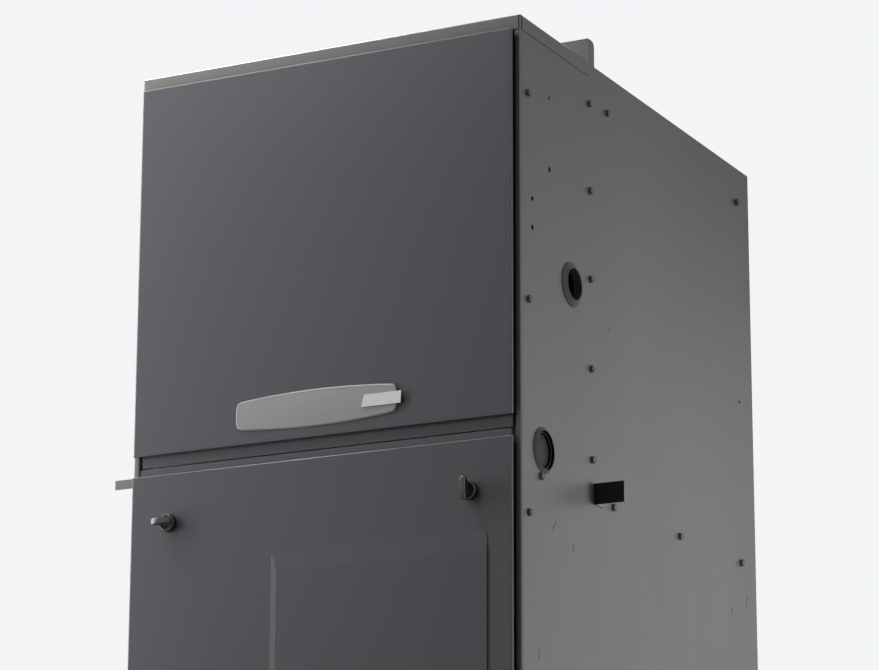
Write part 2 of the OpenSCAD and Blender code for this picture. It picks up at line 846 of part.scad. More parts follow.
// Serpentine tubes: three passes from the burners to the rear header
module primary_tubes() {
    y0 = vest_y - 3;
    color("#b9b4aa")
        for (x = cell_places) {
            pipe([x, y0, cell_z], "y", cell_back - y0, cell_r, cell_r - cell_wall);
            u_bend(x, cell_back, cell_z - cell_bend_r, 1);
            pipe([x, cell_front, cell_z2], "y", cell_back - cell_front, cell_r, cell_r - cell_wall);
            u_bend(x, cell_front, cell_z2 - cell_bend_r, -1);
            pipe([x, cell_front, cell_z3], "y", header_y - cell_front, cell_r, cell_r - cell_wall);
        }
}

// Box that turns the flue gas down into the condensing coil
module rear_header() {
    w = cell_places[cells - 1] + cell_r + 14;
    x = max(w, coil_x);
    z0 = deck_z + 6;
    z1 = cell_z3 + cell_r + 12;
    y1 = header_y + 66;
    color(GALV)
        difference() {
            block([-x, header_y, z0], [x, y1, z1]);
            block([-x + 2, header_y + 2, z0 + 2], [x - 2, y1 - 2, z1 - 2]);
            for (px = cell_places)
                rod([px, header_y - 5, cell_z3], "y", 10, cell_r - cell_wall);
            for (px = coil_x_places, z = coil_z_places)
                rod([px, header_y - 5, z], "y", 10, coil_tube_r - 1);
        }
}

module coil_tubes() {
    y0 = vest_y - sheet - 5;
    color("#b9b4aa")
        for (x = coil_x_places, z = coil_z_places)
            rod([x, y0, z], "y", header_y - y0, coil_tube_r);
}

module coil_fins() {
    y0 = vest_y + 20;
    y1 = header_y - 16;
    n = floor((y1 - y0) / fin_pitch);
    color("#c4c6c8")
        for (i = [0:n])
            block([-coil_x, y0 + i * fin_pitch, coil_z0 - 17],
                [coil_x, y0 + i * fin_pitch + 0.6, coil_z1 - 1]);
}

collector_d = 36;

// Plastic box on the vestibule panel that gathers the cooled flue gas
module collector_box() {
    z0 = deck_z + 8;
    z1 = coil_z1 + 6;
    y1 = vest_y - sheet;
    y0 = y1 - collector_d;
    x = coil_x + 4;
    top = inducer_z + 52;
    outline = concat(
        corner_arc([-x, top], [-x, z0], [x, z0], 8),
        corner_arc([-x, z0], [x, z0], [x, z1], 8),
        corner_arc([x, z0], [x, z1], [-x, z1], 8),
        corner_arc([x, z1], [-inducer_x + 62, z1], [-inducer_x + 62, top], 8),
        corner_arc([-inducer_x + 62, z1], [-inducer_x + 62, top], [-x, top], 8),
        corner_arc([-inducer_x + 62, top], [-x, top], [-x, z0], 8));
    color(BLACK)
        difference() {
            rearward(outline, y0, y1);
            rod([-inducer_x, y0 - 5, inducer_z], "y", 20, 24);
            for (px = coil_x_places, z = coil_z_places)
                rod([px, y1 - 20, z], "y", 30, coil_tube_r + 2);
        }
}

// ---------------------------------------------------------------- burners and gas

burner_rear = vest_y - sheet - 8;
burner_l = 92;
burner_floor = cell_z - 36 + 1.2;
manifold_y = vest_y - 128;
manifold_r = 10.7;
valve_x = right - 70.7;
valve_y = manifold_y;

module burner_box() {
    x = cell_places[cells - 1] + cell_r + 16;
    y1 = vest_y - sheet;
    y0 = y1 - 112;
    z0 = cell_z - 36;
    z1 = cell_z + 36;
    color(GALV)
        difference() {
            block([-x, y0, z0], [x, y1, z1]);
            block([-x + 1.2, y0 + 1.2, z0 + 1.2], [x - 1.2, y1 + 1, z1 - 1.2]);
            for (px = cell_places)
                rod([px, y0 - 5, cell_z], "y", 10, 9);
        }
}

// In-shot burners: a venturi each, turned about its own axis
module burners() {
    y = burner_rear - 12;
    color("#9a9c9d") {
        difference() {
            block([cell_places[0] - 28, y, burner_floor], [cell_places[cells - 1] + 28, y + 1.2, cell_z + 24]);
            for (x = cell_places)
                rod([x, y - 5, cell_z], "y", 10, 16.5);
        }
        for (x = cell_places)
            translate([x, burner_rear - burner_l, cell_z])
                rotate([-90, 0, 0])
                    rotate_extrude()
                        polygon([[13, 0], [15, 0], [10.5, 26], [10.5, 40], [17, 70], [17, burner_l],
                            [15.8, burner_l], [15.8, 70.5], [9.3, 40.5], [9.3, 25.5]]);
    }
}

// Pipe that feeds the burners, with its riser from the valve
module gas_manifold() {
    x0 = cell_places[0] - 22;
    color("#3a3b3c") {
        difference() {
            union() {
                rod([x0, manifold_y, cell_z], "x", valve_x - x0, manifold_r);
                translate([valve_x, manifold_y, cell_z])
                    sphere(r = manifold_r + 3);
                rod([x0 - 4, manifold_y, cell_z], "x", 12, manifold_r + 3);
                for (x = [cell_places[0] - 13, cell_places[cells - 1] + 16])
                    block([x, manifold_y, cell_z - 8], [x + 4, vest_y - sheet - 112, cell_z + 8]);
                rod([valve_x, manifold_y, gas_z + 40], "z", cell_z - gas_z - 40, manifold_r);
            }
            rod([valve_x, manifold_y, gas_z + 39], "z", cell_z - gas_z - 39, manifold_r - 2.8);
            rod([x0 + 4, manifold_y, cell_z], "x", valve_x - x0 - 4, manifold_r - 2.8);
            for (x = cell_places)
                rod([x, manifold_y, cell_z], "y", 30, 4);
        }
    }
}

module gas_orifices() {
    color("#b08d57")
        for (x = cell_places) {
            difference() {
                union() {
                    rod([x, manifold_y + 7.5, cell_z], "y", 8, 4 - FIT);
                    translate([x, manifold_y + manifold_r + 0.2, cell_z])
                        rotate([-90, 0, 0])
                            cylinder(h = 7, r = 7, $fn = 6);
                }
                rod([x, manifold_y + 5, cell_z], "y", 30, 1.1);
            }
        }
}

gas_inlet_r = 10.4;
valve_half = 34;

// Gas valve with its inlet towards the right side and outlet on top
module gas_valve() {
    y_in = front + gas_y;
    color("#8b8f93")
        difference() {
            union() {
                upright(round_rect(valve_x - valve_half, valve_y - 22, valve_x + valve_half, y_in + 22, 5),
                    gas_z - 26, gas_z + 26);
                rod([valve_x, valve_y, gas_z + 20], "z", 20, 17);
                rod([valve_x + valve_half - 4, y_in, gas_z], "x", 14, 17);
                rod([valve_x - 4, valve_y + 44, gas_z + 20], "z", 26, 15);
                rod([valve_x - 14, valve_y - 2, gas_z - 44], "z", 24, 12);
            }
            rod([valve_x + valve_half - 16, y_in, gas_z], "x", 40, gas_inlet_r);
            rod([valve_x, valve_y, gas_z + 28], "z", 30, manifold_r - 2.8);
            rod([valve_x - 14, valve_y - 40, gas_z], "y", 24, knob_shaft_r + FIT);
        }
}

knob_shaft_r = 4;

// Shut-off knob on the front of the valve
module gas_valve_knob() {
    y0 = valve_y - 22;
    color("#23272e")
        translate([valve_x - 14, 0, gas_z]) {
            rod([0, y0 - 12, 0], "y", 12 - CLEAR, 12);
            rod([0, y0 - 4, 0], "y", 9, knob_shaft_r);
            rearward(round_rect(-3, -12, 3, 12, 2), y0 - 19, y0 - 11);
        }
}

// Hot surface igniter on its ceramic block
module igniter() {
    x = cell_places[cells - 1];
    y = burner_rear + 2;
    color("#d8d4c8") {
        block([x + 18, y - 8, burner_floor], [x + 26, y - 2, cell_z - 12]);
        block([x + 19, y - 7, cell_z - 12], [x + 25, y - 3, cell_z + 12]);
    }
}

module flame_sensor() {
    x = cell_places[0];
    y = burner_rear - 4;
    color("#c9c9c4") {
        rod([x - 24, y, burner_floor], "z", 22, 3.5);
        rod([x - 24, y, burner_floor + 21], "z", 30, 1.6);
    }
}

// ---------------------------------------------------------------- inducer and vent

inducer_x = vent_x - 82;
inducer_z = deck_z + 138;
inducer_r = 74;
inducer_y1 = vest_y - sheet - collector_d;
inducer_d = 62;
inducer_y0 = inducer_y1 - inducer_d;
vent_pipe_y = front + vent_y;
coupling_r = vent_r + 5.5;

// Plastic scroll of the draught inducer, open inside for its wheel
module inducer_housing() {
    x = -inducer_x;
    out_x = -vent_x;
    color("#2a2b2d")
        difference() {
            union() {
                rod([x, inducer_y0, inducer_z], "y", inducer_d, inducer_r);
                rod([out_x, vent_pipe_y, inducer_z + 4], "z", 78, vent_r + 5);
                block([out_x - vent_r, inducer_y0 + 2, inducer_z - 8], [x, inducer_y1 - 2, inducer_z + 40]);
                for (a = [45, 165, 285])
                    rod([x + (inducer_r + 3) * cos(a), inducer_y1 - 10, inducer_z + (inducer_r + 3) * sin(a)],
                        "y", 10, 8);
            }
            rod([x, inducer_y0 + 3, inducer_z], "y", inducer_d - 6, inducer_r - 3);
            rod([x, inducer_y1 - 10, inducer_z], "y", 20, 24);
            rod([out_x, vent_pipe_y, inducer_z + 20], "z", 40, vent_r - 4);
            rod([out_x, vent_pipe_y, vent_pipe_z0], "z", 80, vent_r + FIT);
            rod([x, inducer_y0 - 5, inducer_z], "y", 20, inducer_shaft_r + 1);
            block([x - inducer_r + 12, inducer_y0 + 12, inducer_z + 22], [x - 40, inducer_y1 - 12, inducer_z + 34]);
        }
}

inducer_shaft_r = 4;
inducer_blades = 12;

module inducer_wheel() {
    color("#3b3c3e")
        translate([-inducer_x, 0, inducer_z]) {
            rod([0, inducer_y0 + 10, 0], "y", 2, 62);
            rod([0, inducer_y0 - 20, 0], "y", 44, inducer_shaft_r);
            rod([0, inducer_y0 + 10, 0], "y", 14, 10);
            for (i = [0:inducer_blades - 1])
                rotate([0, i * 360 / inducer_blades, 0])
                    block([26, inducer_y0 + 11, -1], [61, inducer_y0 + 40, 1]);
        }
}

// Motor on the front of the inducer, with its cooling fan guard
module inducer_motor() {
    y0 = inducer_y0 - 62;
    color("#4c4f52")
        difference() {
            translate([-inducer_x, y0, inducer_z])
                rotate([-90, 0, 0])
                    rotate_extrude()
                        polygon([[0, 0], [28, 0], [34, 5], [34, 44], [42, 50], [42, 61.8], [0, 61.8]]);
            rod([-inducer_x, inducer_y0 - 24, inducer_z], "y", 30, inducer_shaft_r + FIT);
        }
}

vent_pipe_z0 = inducer_z + 50;
vent_pipe_z1 = cabinet_h - 22;

module vent_pipe() {
    color("#d9d9d4")
        pipe([-vent_x, vent_pipe_y, vent_pipe_z0], "z", vent_pipe_z1 - vent_pipe_z0, vent_r, vent_r - 3.9);
}

// Coupling through the top cap, with a stop ring half way
module coupling(x) {
    z0 = cabinet_h - 34;
    z1 = cabinet_h + 18;
    translate([x, vent_pipe_y, 0])
        difference() {
            union() {
                rod([0, 0, z0], "z", z1 - z0, coupling_r - CLEAR);
                rod([0, 0, cabinet_h + sheet], "z", 4, coupling_r + 6);
            }
            rod([0, 0, z0 - 1], "z", z1 - z0 + 2, vent_r - 3);
            rod([0, 0, cabinet_h - 17], "z", 40, vent_r + 0.1);
            rod([0, 0, z0 - 1], "z", 13, vent_r + 0.1);
        }
}

// The vent's and the air intake's couplings are the same
module pipe_couplings() {
    color(BLACK)
        for (x = [-vent_x, intake_x])
            coupling(x);
}

// ---------------------------------------------------------------- controls on the heat side

switch_disc_r = 33;
pressure_x = [6, 82];
pressure_y = vest_y - 46;
pressure_z = coil_z1 + 90;

module pressure_switches() {
    color("#303236")
        for (x = pressure_x) {
            translate([x, pressure_y, pressure_z])
                rotate([-90, 0, 0])
                    rotate_extrude()
                        polygon([[0, 0], [switch_disc_r - 3, 0], [switch_disc_r, 3], [switch_disc_r, 9],
                            [switch_disc_r - 8, 12], [switch_disc_r - 8, 22], [0, 22]]);
            for (z = [-12, 12])
                rod([x, pressure_y + 21, pressure_z + z], "y", vest_y - sheet - pressure_y - 21, 4);
            rod([x, pressure_y - 14, pressure_z], "y", 15, 3);
        }
}

module pressure_hoses() {
    z1 = coil_z1 + 6;
    color("#8a2f2a")
        for (x = pressure_x)
            hose([[x, pressure_y - 14.1, pressure_z], [x, pressure_y - 20, pressure_z],
                [x, pressure_y - 26, pressure_z], [x + 9, pressure_y - 34, pressure_z - 30],
                [x + 16, pressure_y - 20, pressure_z - 54], [x + 16, vest_y - 20, z1 + 20],
                [x + 16, vest_y - 20, z1 + 12], [x + 16, vest_y - 20, z1 + 6],
                [x + 16, vest_y - 20, z1 + 0.1]], 3.2, 8, 3);
}

trap_x = right - 52.7;
trap_y = vest_y - 62;

// Moulded condensate trap with its outlet nipple
module condensate_trap() {
    z0 = deck_z;
    color("#1f2022")
        difference() {
            union() {
                upright(round_rect(trap_x - 16, trap_y - 30, trap_x + 24, trap_y + 30, 6), z0, z0 + 96);
                rod([trap_x - 30, trap_y, drain_z], "x", 20, 8);
                rod([trap_x, trap_y - 8, z0 + 96], "z", 8, 12);
            }
            rod([trap_x - 31, trap_y, drain_z], "x", 24, 5.5);
        }
}

drain_hose_r = 10;

module drain_hose() {
    y = front + drain_y;
    z = drain_z;
    color("#2b2c2e")
        hose([[trap_x - 30.3, trap_y, z], [trap_x - 36, trap_y, z], [trap_x - 42, trap_y, z],
            [trap_x - 84, y + 50, z - 2], [trap_x - 134, y + 8, z - 4], [0, y, z - 4],
            [-right / 2 + 33, y, z - 3], [-right + 66.7, y, z], [-right + 36.7, y, z],
            [-right - 8, y, z]], drain_hose_r, 10, 3);
}

// ---------------------------------------------------------------- blower

axis_y = wheel_y;
outlet_x = scroll_w / 2 - 4;
cut_angle = 68;
inlet_r = 112;
scroll_t = 1.2;
outlet_y1 = axis_y + scroll_r1 - scroll_t - 1;
outlet_y0 = axis_y + scroll_r0 * cos(cut_angle) + scroll_t + 1;

function scroll_r(a) = scroll_r0 + (scroll_r1 - scroll_r0) * (a - cut_angle) / (360 - cut_angle);

// Open path of the scroll wall in YZ, from the cut-off round to the outlet
scroll_path = concat(
    [[axis_y + scroll_r0 * cos(cut_angle), deck_z - sheet - 0.2]],
    [for (i = [0:36])
        let (a = cut_angle + (360 - cut_angle) * i / 36)
        [axis_y + scroll_r(a) * cos(a), wheel_z + scroll_r(a) * sin(a)]],
    [[axis_y + scroll_r1, deck_z - sheet - 0.2]]);

// Cheek of the housing with its rolled inlet, on the +X side
module blower_cheek() {
    difference() {
        across(scroll_path, scroll_w / 2 - scroll_t, scroll_w / 2);
        rod([scroll_w / 2 - 5, axis_y, wheel_z], "x", 10, inlet_r + 5);
    }
    translate([scroll_w / 2 - 9, axis_y, wheel_z])
        rotate([0, 90, 0])
            rotate_extrude()
                polygon([[inlet_r, 0], [inlet_r + 1.2, 0], [inlet_r + 1.8, 4], [inlet_r + 4.4, 6.8],
                    [inlet_r + 8, 7.4], [inlet_r + 8, 8.6], [inlet_r + 4, 8.6], [inlet_r + 0.8, 5.5]]);
}

// Spiral housing: the wrap, two cheeks, and the flanges it hangs from
module blower_housing() {
    color(GALV) {
        across(sheet_outline(scroll_path, -scroll_t), -scroll_w / 2, scroll_w / 2);
        for (s = [-1, 1])
            on_side(s) {
                blower_cheek();
                block([scroll_w / 2 - scroll_t / 2, outlet_y0, deck_z - sheet - 0.2 - scroll_t],
                    [scroll_w / 2 + 14, outlet_y1, deck_z - sheet - 0.2]);
            }
    }
}

blade_t = 0.9;
blade_r = 19;
hub_r = 22;

// Outline of one forward-curved blade, at the top of the wheel
blade_outline = sheet_outline(
    [for (i = [0:5])
        let (a = 20 + i * 24)
        [wheel_r - 2 - blade_r * (1 - cos(a - 20)) * 0.98, blade_r * (sin(a) - sin(20))]], blade_t);

// Double-inlet wheel with forward-curved blades, hub and shaft
module blower_wheel() {
    half = wheel_w / 2;
    color("#9da0a3")
        translate([0, axis_y, wheel_z])
            rotate([90, 0, 90]) {
                for (i = [0:blade_count - 1])
                    rotate([0, 0, i * 360 / blade_count])
                        translate([0, 0, -half])
                            linear_extrude(wheel_w)
                                polygon(blade_outline);
                translate([0, 0, -1])
                    cylinder(h = 2, r = wheel_r);
                for (z = [-half, half - 5])
                    translate([0, 0, z])
                        difference() {
                            cylinder(h = 5, r = wheel_r + 1.5);
                            translate([0, 0, -1])
                                cylinder(h = 7, r = wheel_r - 5);
                        }
                translate([0, 0, -18])
                    cylinder(h = 36, r = hub_r);
                translate([0, 0, -22])
                    cylinder(h = 22 + motor_x0 + 20, r = shaft_r);
            }
}

motor_x0 = scroll_w / 2 - 96;

// Motor half inside the wheel
module blower_motor() {
    r = motor_r;
    color("#3d4043")
        difference() {
            translate([motor_x0, axis_y, wheel_z])
                rotate([0, 90, 0])
                    rotate_extrude()
                        polygon([[0, 0], [22, 0], [26, 3], [r - 12, 6], [r - 3, 12], [r, 22], [r, motor_l - 26],
                            [r - 3, motor_l - 14], [r - 12, motor_l - 4], [r - 20, motor_l], [0, motor_l]]);
            rod([motor_x0 - 1, axis_y, wheel_z], "x", 24, shaft_r + FIT);
        }
}

// Band round the motor with three arms on the housing's cheek
module blower_motor_mount() {
    x = scroll_w / 2 + FIT / 2;
    color(GALV)
        translate([0, axis_y, wheel_z]) {
            pipe([x, 0, 0], "x", 16, motor_r + 2, motor_r + FIT / 2);
            for (a = [30, 150, 270])
                rotate([a, 0, 0])
                    block([x, motor_r + 1, -8], [x + 2, inlet_r + 24, 8]);
        }
}

// ---------------------------------------------------------------- controls on the blower side

box_w = 170;
box_h = 200;
box_x1 = right - 36.7;
box_x0 = box_x1 - box_w;
box_y = front + 70;
box_z1 = deck_z - 36;
box_z0 = box_z1 - box_h;

// Plate hung from the deck, with the control board, its relays and the transformer
module control_box() {
    color(GALV) {
        block([box_x0, box_y, box_z0], [box_x1, box_y + sheet, box_z1]);
        for (x = [box_x0, box_x1 - sheet])
            block([x, box_y - 12, box_z0], [x + sheet, box_y, box_z1]);
        for (x = [box_x0, box_x1 - 24]) {
            block([x, box_y, box_z1], [x + 24, box_y + sheet, deck_z - sheet]);
            block([x, box_y + sheet, deck_z - 2 * sheet], [x + 24, box_y + 14, deck_z - sheet]);
        }
    }
    color("#2f6b3c")
        block([box_x0 + 8, box_y - 8, box_z0 + 70], [box_x1 - 8, box_y, box_z1 - 8]);
    color(BLACK) {
        for (i = [0:3])
            block([box_x0 + 16 + i * 24, box_y - 24, box_z1 - 44], [box_x0 + 34 + i * 24, box_y - 8, box_z1 - 20]);
        for (i = [0:2])
            block([box_x0 + 14, box_y - 20, box_z0 + 80 + i * 24], [box_x0 + 34, box_y - 8, box_z0 + 98 + i * 24]);
        block([box_x0 + 60, box_y - 40, box_z0 + 8], [box_x0 + 124, box_y, box_z0 + 60]);
    }
}

switch_x = 150;
switch_z = deck_z - 5;
plunger_r = 2.5;

// Safety switch that the lower door presses
module door_switch() {
    y0 = rail_y - 2;
    color("#e8e6df")
        difference() {
            union() {
                block([switch_x - 8.5, y0, switch_z - 8.5], [switch_x + 8.5, rail_y + 16, switch_z + 8.5]);
                block([switch_x - 14, rail_y + sheet, switch_z - 8.5],
                    [switch_x + 14, rail_y + sheet + 2, switch_z + 8.5]);
            }
            rod([switch_x, y0 - 1, switch_z], "y", 13, plunger_r + FIT);
        }
}

module door_switch_plunger() {
    y0 = liner_y + sheet + CLEAR;
    color("#c8412f")
        rod([switch_x, y0, switch_z], "y", rail_y + 5 - y0, plunger_r);
}

// Leads from the control board to the burners, the gas valve and the inducer
module wiring_harness() {
    y = box_y - 12;
    x = box_x1 - 30;
    color("#5a5d63") {
        hose([[x, y, box_z1 - 60], [x, y - 10, box_z1 - 40], [x + 8, y - 16, box_z1 - 10],
            [x + 14, y - 14, deck_z - 20], [x + 16, y - 10, deck_z + 10], [x + 22, y - 10, deck_z + 110],
            [x + 20, y - 6, gas_z - 60], [valve_x + 10, valve_y + 10, gas_z - 36],
            [valve_x + 10, valve_y + 10, gas_z - 31], [valve_x + 10, valve_y + 10, gas_z - 26.1]], 4, 8, 4);
    }
}

side_panel(-1);  // left_side_panel
side_panel(1);  // right_side_panel
back_panel();
base_frame();
mid_rail();
top_cap();
supply_air_rim();
duct_flange();
vestibule_panel();
blower_deck();
side_screws();
left_side_tab();
right_side_tab();
gas_grommet();
side_plugs();
drain_grommet();
upper_door_skin();
upper_door_core();
upper_door_liner();
upper_door_seal();
nameplate();
nameplate_tag();
lower_door_skin();
lower_door_core();
lower_door_liner();
lower_door_seal();
left_latch_knob();
left_latch_cam();
right_latch_knob();
right_latch_cam();
primary_tubes();
rear_header();
coil_tubes();
coil_fins();
collector_box();
burner_box();
burners();
gas_manifold();
gas_orifices();
gas_valve();
gas_valve_knob();
igniter();
flame_sensor();
inducer_housing();
inducer_wheel();
inducer_motor();
vent_pipe();
pipe_couplings();
pressure_switches();
pressure_hoses();
condensate_trap();
drain_hose();
blower_housing();
blower_wheel();
blower_motor();
blower_motor_mount();
control_box();
door_switch();
door_switch_plunger();
wiring_harness();
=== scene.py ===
"""Forced air gas furnace: finishes, small hardware and a studio stage over the CAD frame.

Metres throughout, in the part's own frame: +X is the right side, -Y the front, +Z up,
and the origin is the centre of the cabinet's footprint on the floor.
"""

import math

import bmesh
import bpy
from mathutils import Matrix, Vector


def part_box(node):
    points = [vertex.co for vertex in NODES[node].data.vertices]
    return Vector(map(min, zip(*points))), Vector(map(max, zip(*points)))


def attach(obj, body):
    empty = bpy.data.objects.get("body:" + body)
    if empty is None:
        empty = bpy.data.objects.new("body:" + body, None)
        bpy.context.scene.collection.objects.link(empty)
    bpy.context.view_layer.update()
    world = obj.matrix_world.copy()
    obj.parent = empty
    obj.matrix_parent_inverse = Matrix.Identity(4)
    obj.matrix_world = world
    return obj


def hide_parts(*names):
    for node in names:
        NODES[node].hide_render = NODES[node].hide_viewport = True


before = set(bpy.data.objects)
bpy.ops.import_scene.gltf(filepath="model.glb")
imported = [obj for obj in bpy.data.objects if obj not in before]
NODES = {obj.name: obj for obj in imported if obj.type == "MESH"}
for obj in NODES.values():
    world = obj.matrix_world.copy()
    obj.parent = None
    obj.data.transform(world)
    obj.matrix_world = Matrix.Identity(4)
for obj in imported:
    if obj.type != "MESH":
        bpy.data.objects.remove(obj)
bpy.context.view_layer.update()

bl_info = {
    "name": "Gas Furnace",
    "version": (1, 0, 0),
    "blender": (4, 5, 0),
    "location": "3D View > Sidebar > Furnace",
    "description": "Finishes, hardware and stage for a forced air gas furnace",
    "category": "Object",
}

# -------------------- settings


class FurnacePaint(bpy.types.PropertyGroup):
    """Colours of the furnace's own finishes"""

    door: bpy.props.FloatVectorProperty(
        name="Door paint", description="Slate enamel of both doors",
        subtype="COLOR", size=3, min=0.0, max=1.0, default=(0.071, 0.0737, 0.081))
    cabinet: bpy.props.FloatVectorProperty(
        name="Cabinet paint", description="Neutral grey enamel of the cabinet",
        subtype="COLOR", size=3, min=0.0, max=1.0, default=(0.160, 0.160, 0.156))
    nameplate: bpy.props.FloatVectorProperty(
        name="Nameplate", description="Light grey of the bare nameplate",
        subtype="COLOR", size=3, min=0.0, max=1.0, default=(0.215, 0.22, 0.217))
    latch: bpy.props.FloatVectorProperty(
        name="Latch plastic", description="Glossy black of the latch handles",
        subtype="COLOR", size=3, min=0.0, max=1.0, default=(0.022, 0.022, 0.023))


class FurnaceSizes(bpy.types.PropertyGroup):
    """Sizes of the small hardware, and strengths of the finishes' fine detail"""

    screw_hex: bpy.props.FloatProperty(
        name="Screw head", description="Width of the hexagon across its flats",
        unit="LENGTH", min=0.006, max=0.00796, default=0.0079)
    screw_washer: bpy.props.FloatProperty(
        name="Screw washer", description="Diameter of the washer under the hexagon",
        unit="LENGTH", min=0.008, max=0.01, default=0.0099)
    peel: bpy.props.FloatProperty(
        name="Paint peel", description="Strength of the enamel's fine waviness",
        subtype="FACTOR", min=0.0, max=1.0, default=0.12)
    dust: bpy.props.FloatProperty(
        name="Dust", description="Amount of dust on surfaces that face up",
        subtype="FACTOR", min=0.0, max=1.0, default=0.25)


# -------------------- node helpers

COLOUR, VALUE, VECTOR = "NodeSocketColor", "NodeSocketFloat", "NodeSocketVector"
SURFACE_OUTPUTS = [("Colour", COLOUR), ("Roughness", VALUE), ("Height", VALUE)]


def feed(tree, value, socket):
    """Links a socket to an input, or writes a plain value into it."""
    if isinstance(value, bpy.types.NodeSocket):
        tree.links.new(value, socket)
    else:
        socket.default_value = value


def fill(tree, made, inputs):
    """Links or fills in some of a node's inputs, by name or number."""
    for key, value in inputs.items():
        feed(tree, value, made.inputs[key])


def add_node(tree, kind, inputs=None, **settings):
    """A node with its settings, and with some of its inputs linked or filled in."""
    made = tree.nodes.new(kind)
    for key, value in settings.items():
        setattr(made, key, value)
    fill(tree, made, inputs or {})
    return made


def maths(tree, operation, *values, clamp=False):
    """The result of a math node over plain values or sockets."""
    made = add_node(tree, "ShaderNodeMath", dict(enumerate(values)),
                    operation=operation, use_clamp=clamp)
    return made.outputs[0]


def swing(tree, mask, strength):
    """A mask around one half, as a change up and down of the given strength."""
    return maths(tree, "MULTIPLY", maths(tree, "SUBTRACT", mask, 0.5), strength)


def ramp(tree, mask, low, high):
    """A mask stretched so that low becomes 0 and high becomes 1."""
    made = add_node(tree, "ShaderNodeMapRange",
                    {"Value": mask, "From Min": low, "From Max": high})
    return made.outputs["Result"]


def blend_colours(tree, factor, a, b):
    """A mix of two colours, each a socket or a plain value."""
    made = add_node(tree, "ShaderNodeMix", data_type="RGBA")
    for name, kind, value in (("Factor", "VALUE", factor), ("A", "RGBA", a), ("B", "RGBA", b)):
        socket = next(s for s in made.inputs if s.name == name and s.type == kind)
        feed(tree, value, socket)
    return next(s for s in made.outputs if s.type == "RGBA")


def part_coordinates(tree):
    """The part's own coordinates, in metres."""
    return tree.nodes.new("ShaderNodeTexCoord").outputs["Object"]


def vector_maths(tree, operation, inputs):
    """The result of a vector math node."""
    return add_node(tree, "ShaderNodeVectorMath", inputs, operation=operation).outputs["Vector"]


def noise(tree, place, scale, detail=2.0, roughness=0.5, output="Fac"):
    """Noise over coordinates, as a mask or with output="Color" as three."""
    made = add_node(tree, "ShaderNodeTexNoise", {
        "Vector": place, "Scale": scale, "Detail": detail, "Roughness": roughness})
    return made.outputs[output]


def cell_pattern(tree, place, scale):
    """Cells over coordinates: the outputs of a Voronoi node."""
    return add_node(tree, "ShaderNodeTexVoronoi", {"Vector": place, "Scale": scale},
                    feature="F1").outputs


def facing(tree, normal):
    """The share of a surface's normal along each axis, by the axis's name."""
    return add_node(tree, "ShaderNodeSeparateXYZ", {0: normal}).outputs


# -------------------- shared shader groups


def new_group(name, inputs, outputs=SURFACE_OUTPUTS):
    """A shader node group with its sockets: the group, what comes in and what goes out."""
    group = bpy.data.node_groups.new(name, "ShaderNodeTree")
    for label, kind, default in inputs:
        socket = group.interface.new_socket(label, in_out="INPUT", socket_type=kind)
        socket.default_value = default
    for label, kind in outputs:
        group.interface.new_socket(label, in_out="OUTPUT", socket_type=kind)
    enter = group.nodes.new("NodeGroupInput")
    leave = group.nodes.new("NodeGroupOutput")
    return group, enter.outputs, leave.inputs


def put_out(group, leave, colour, tone, strength, roughness, height):
    """Links a surface group's outputs; the tone times its strength shifts the colour."""
    gain = maths(group, "MULTIPLY_ADD", tone, strength, 1.0)
    feed(group, vector_maths(group, "SCALE", {0: colour, "Scale": gain}), leave["Colour"])
    feed(group, roughness, leave["Roughness"])
    feed(group, height, leave["Height"])


def make_enamel_group():
    """Baked enamel: slow drift of tone, fine peel, faint speckle."""
    group, enter, leave = new_group("Baked Enamel", [
        ("Paint", COLOUR, (0.1, 0.1, 0.1, 1.0)),
        ("Drift", VALUE, 0.1),
        ("Sheen", VALUE, 0.45),
    ])
    place = part_coordinates(group)
    slow = noise(group, place, scale=2.3, detail=3.0, roughness=0.55)
    speck = noise(group, place, scale=640.0, detail=1.0)
    tone = maths(group, "ADD", swing(group, slow, 1.4), swing(group, speck, 0.35))
    upright = vector_maths(group, "MULTIPLY", {0: place, 1: (6.0, 6.0, 1.6)})
    smear = noise(group, upright, scale=1.0, detail=4.0, roughness=0.6)
    put_out(group, leave, enter["Paint"], tone, enter["Drift"],
            roughness=maths(group, "ADD", enter["Sheen"], swing(group, smear, 0.14)),
            height=noise(group, place, scale=330.0, roughness=0.45))
    return group


def make_spangle_group():
    """Zinc spangle of galvanised sheet."""
    group, enter, leave = new_group("Zinc Spangle", [
        ("Metal", COLOUR, (0.5, 0.5, 0.5, 1.0)),
        ("Grain", VALUE, 90.0),
        ("Contrast", VALUE, 0.25),
    ])
    place = part_coordinates(group)
    wobble = noise(group, place, scale=60.0, output="Color")
    warped = vector_maths(group, "MULTIPLY_ADD", {0: wobble, 1: (0.012, 0.012, 0.012), 2: place})
    cells = cell_pattern(group, warped, enter["Grain"])
    crystal = add_node(group, "ShaderNodeSeparateColor", {0: cells["Color"]}).outputs
    fine = noise(group, place, scale=900.0, roughness=0.6)
    tone = maths(group, "ADD", swing(group, crystal["Red"], 1.0), swing(group, fine, 0.4))
    put_out(group, leave, enter["Metal"], tone, enter["Contrast"],
            roughness=maths(group, "MULTIPLY_ADD", crystal["Green"], 0.22, 0.34),
            height=maths(group, "MULTIPLY", fine, 0.5))
    return group


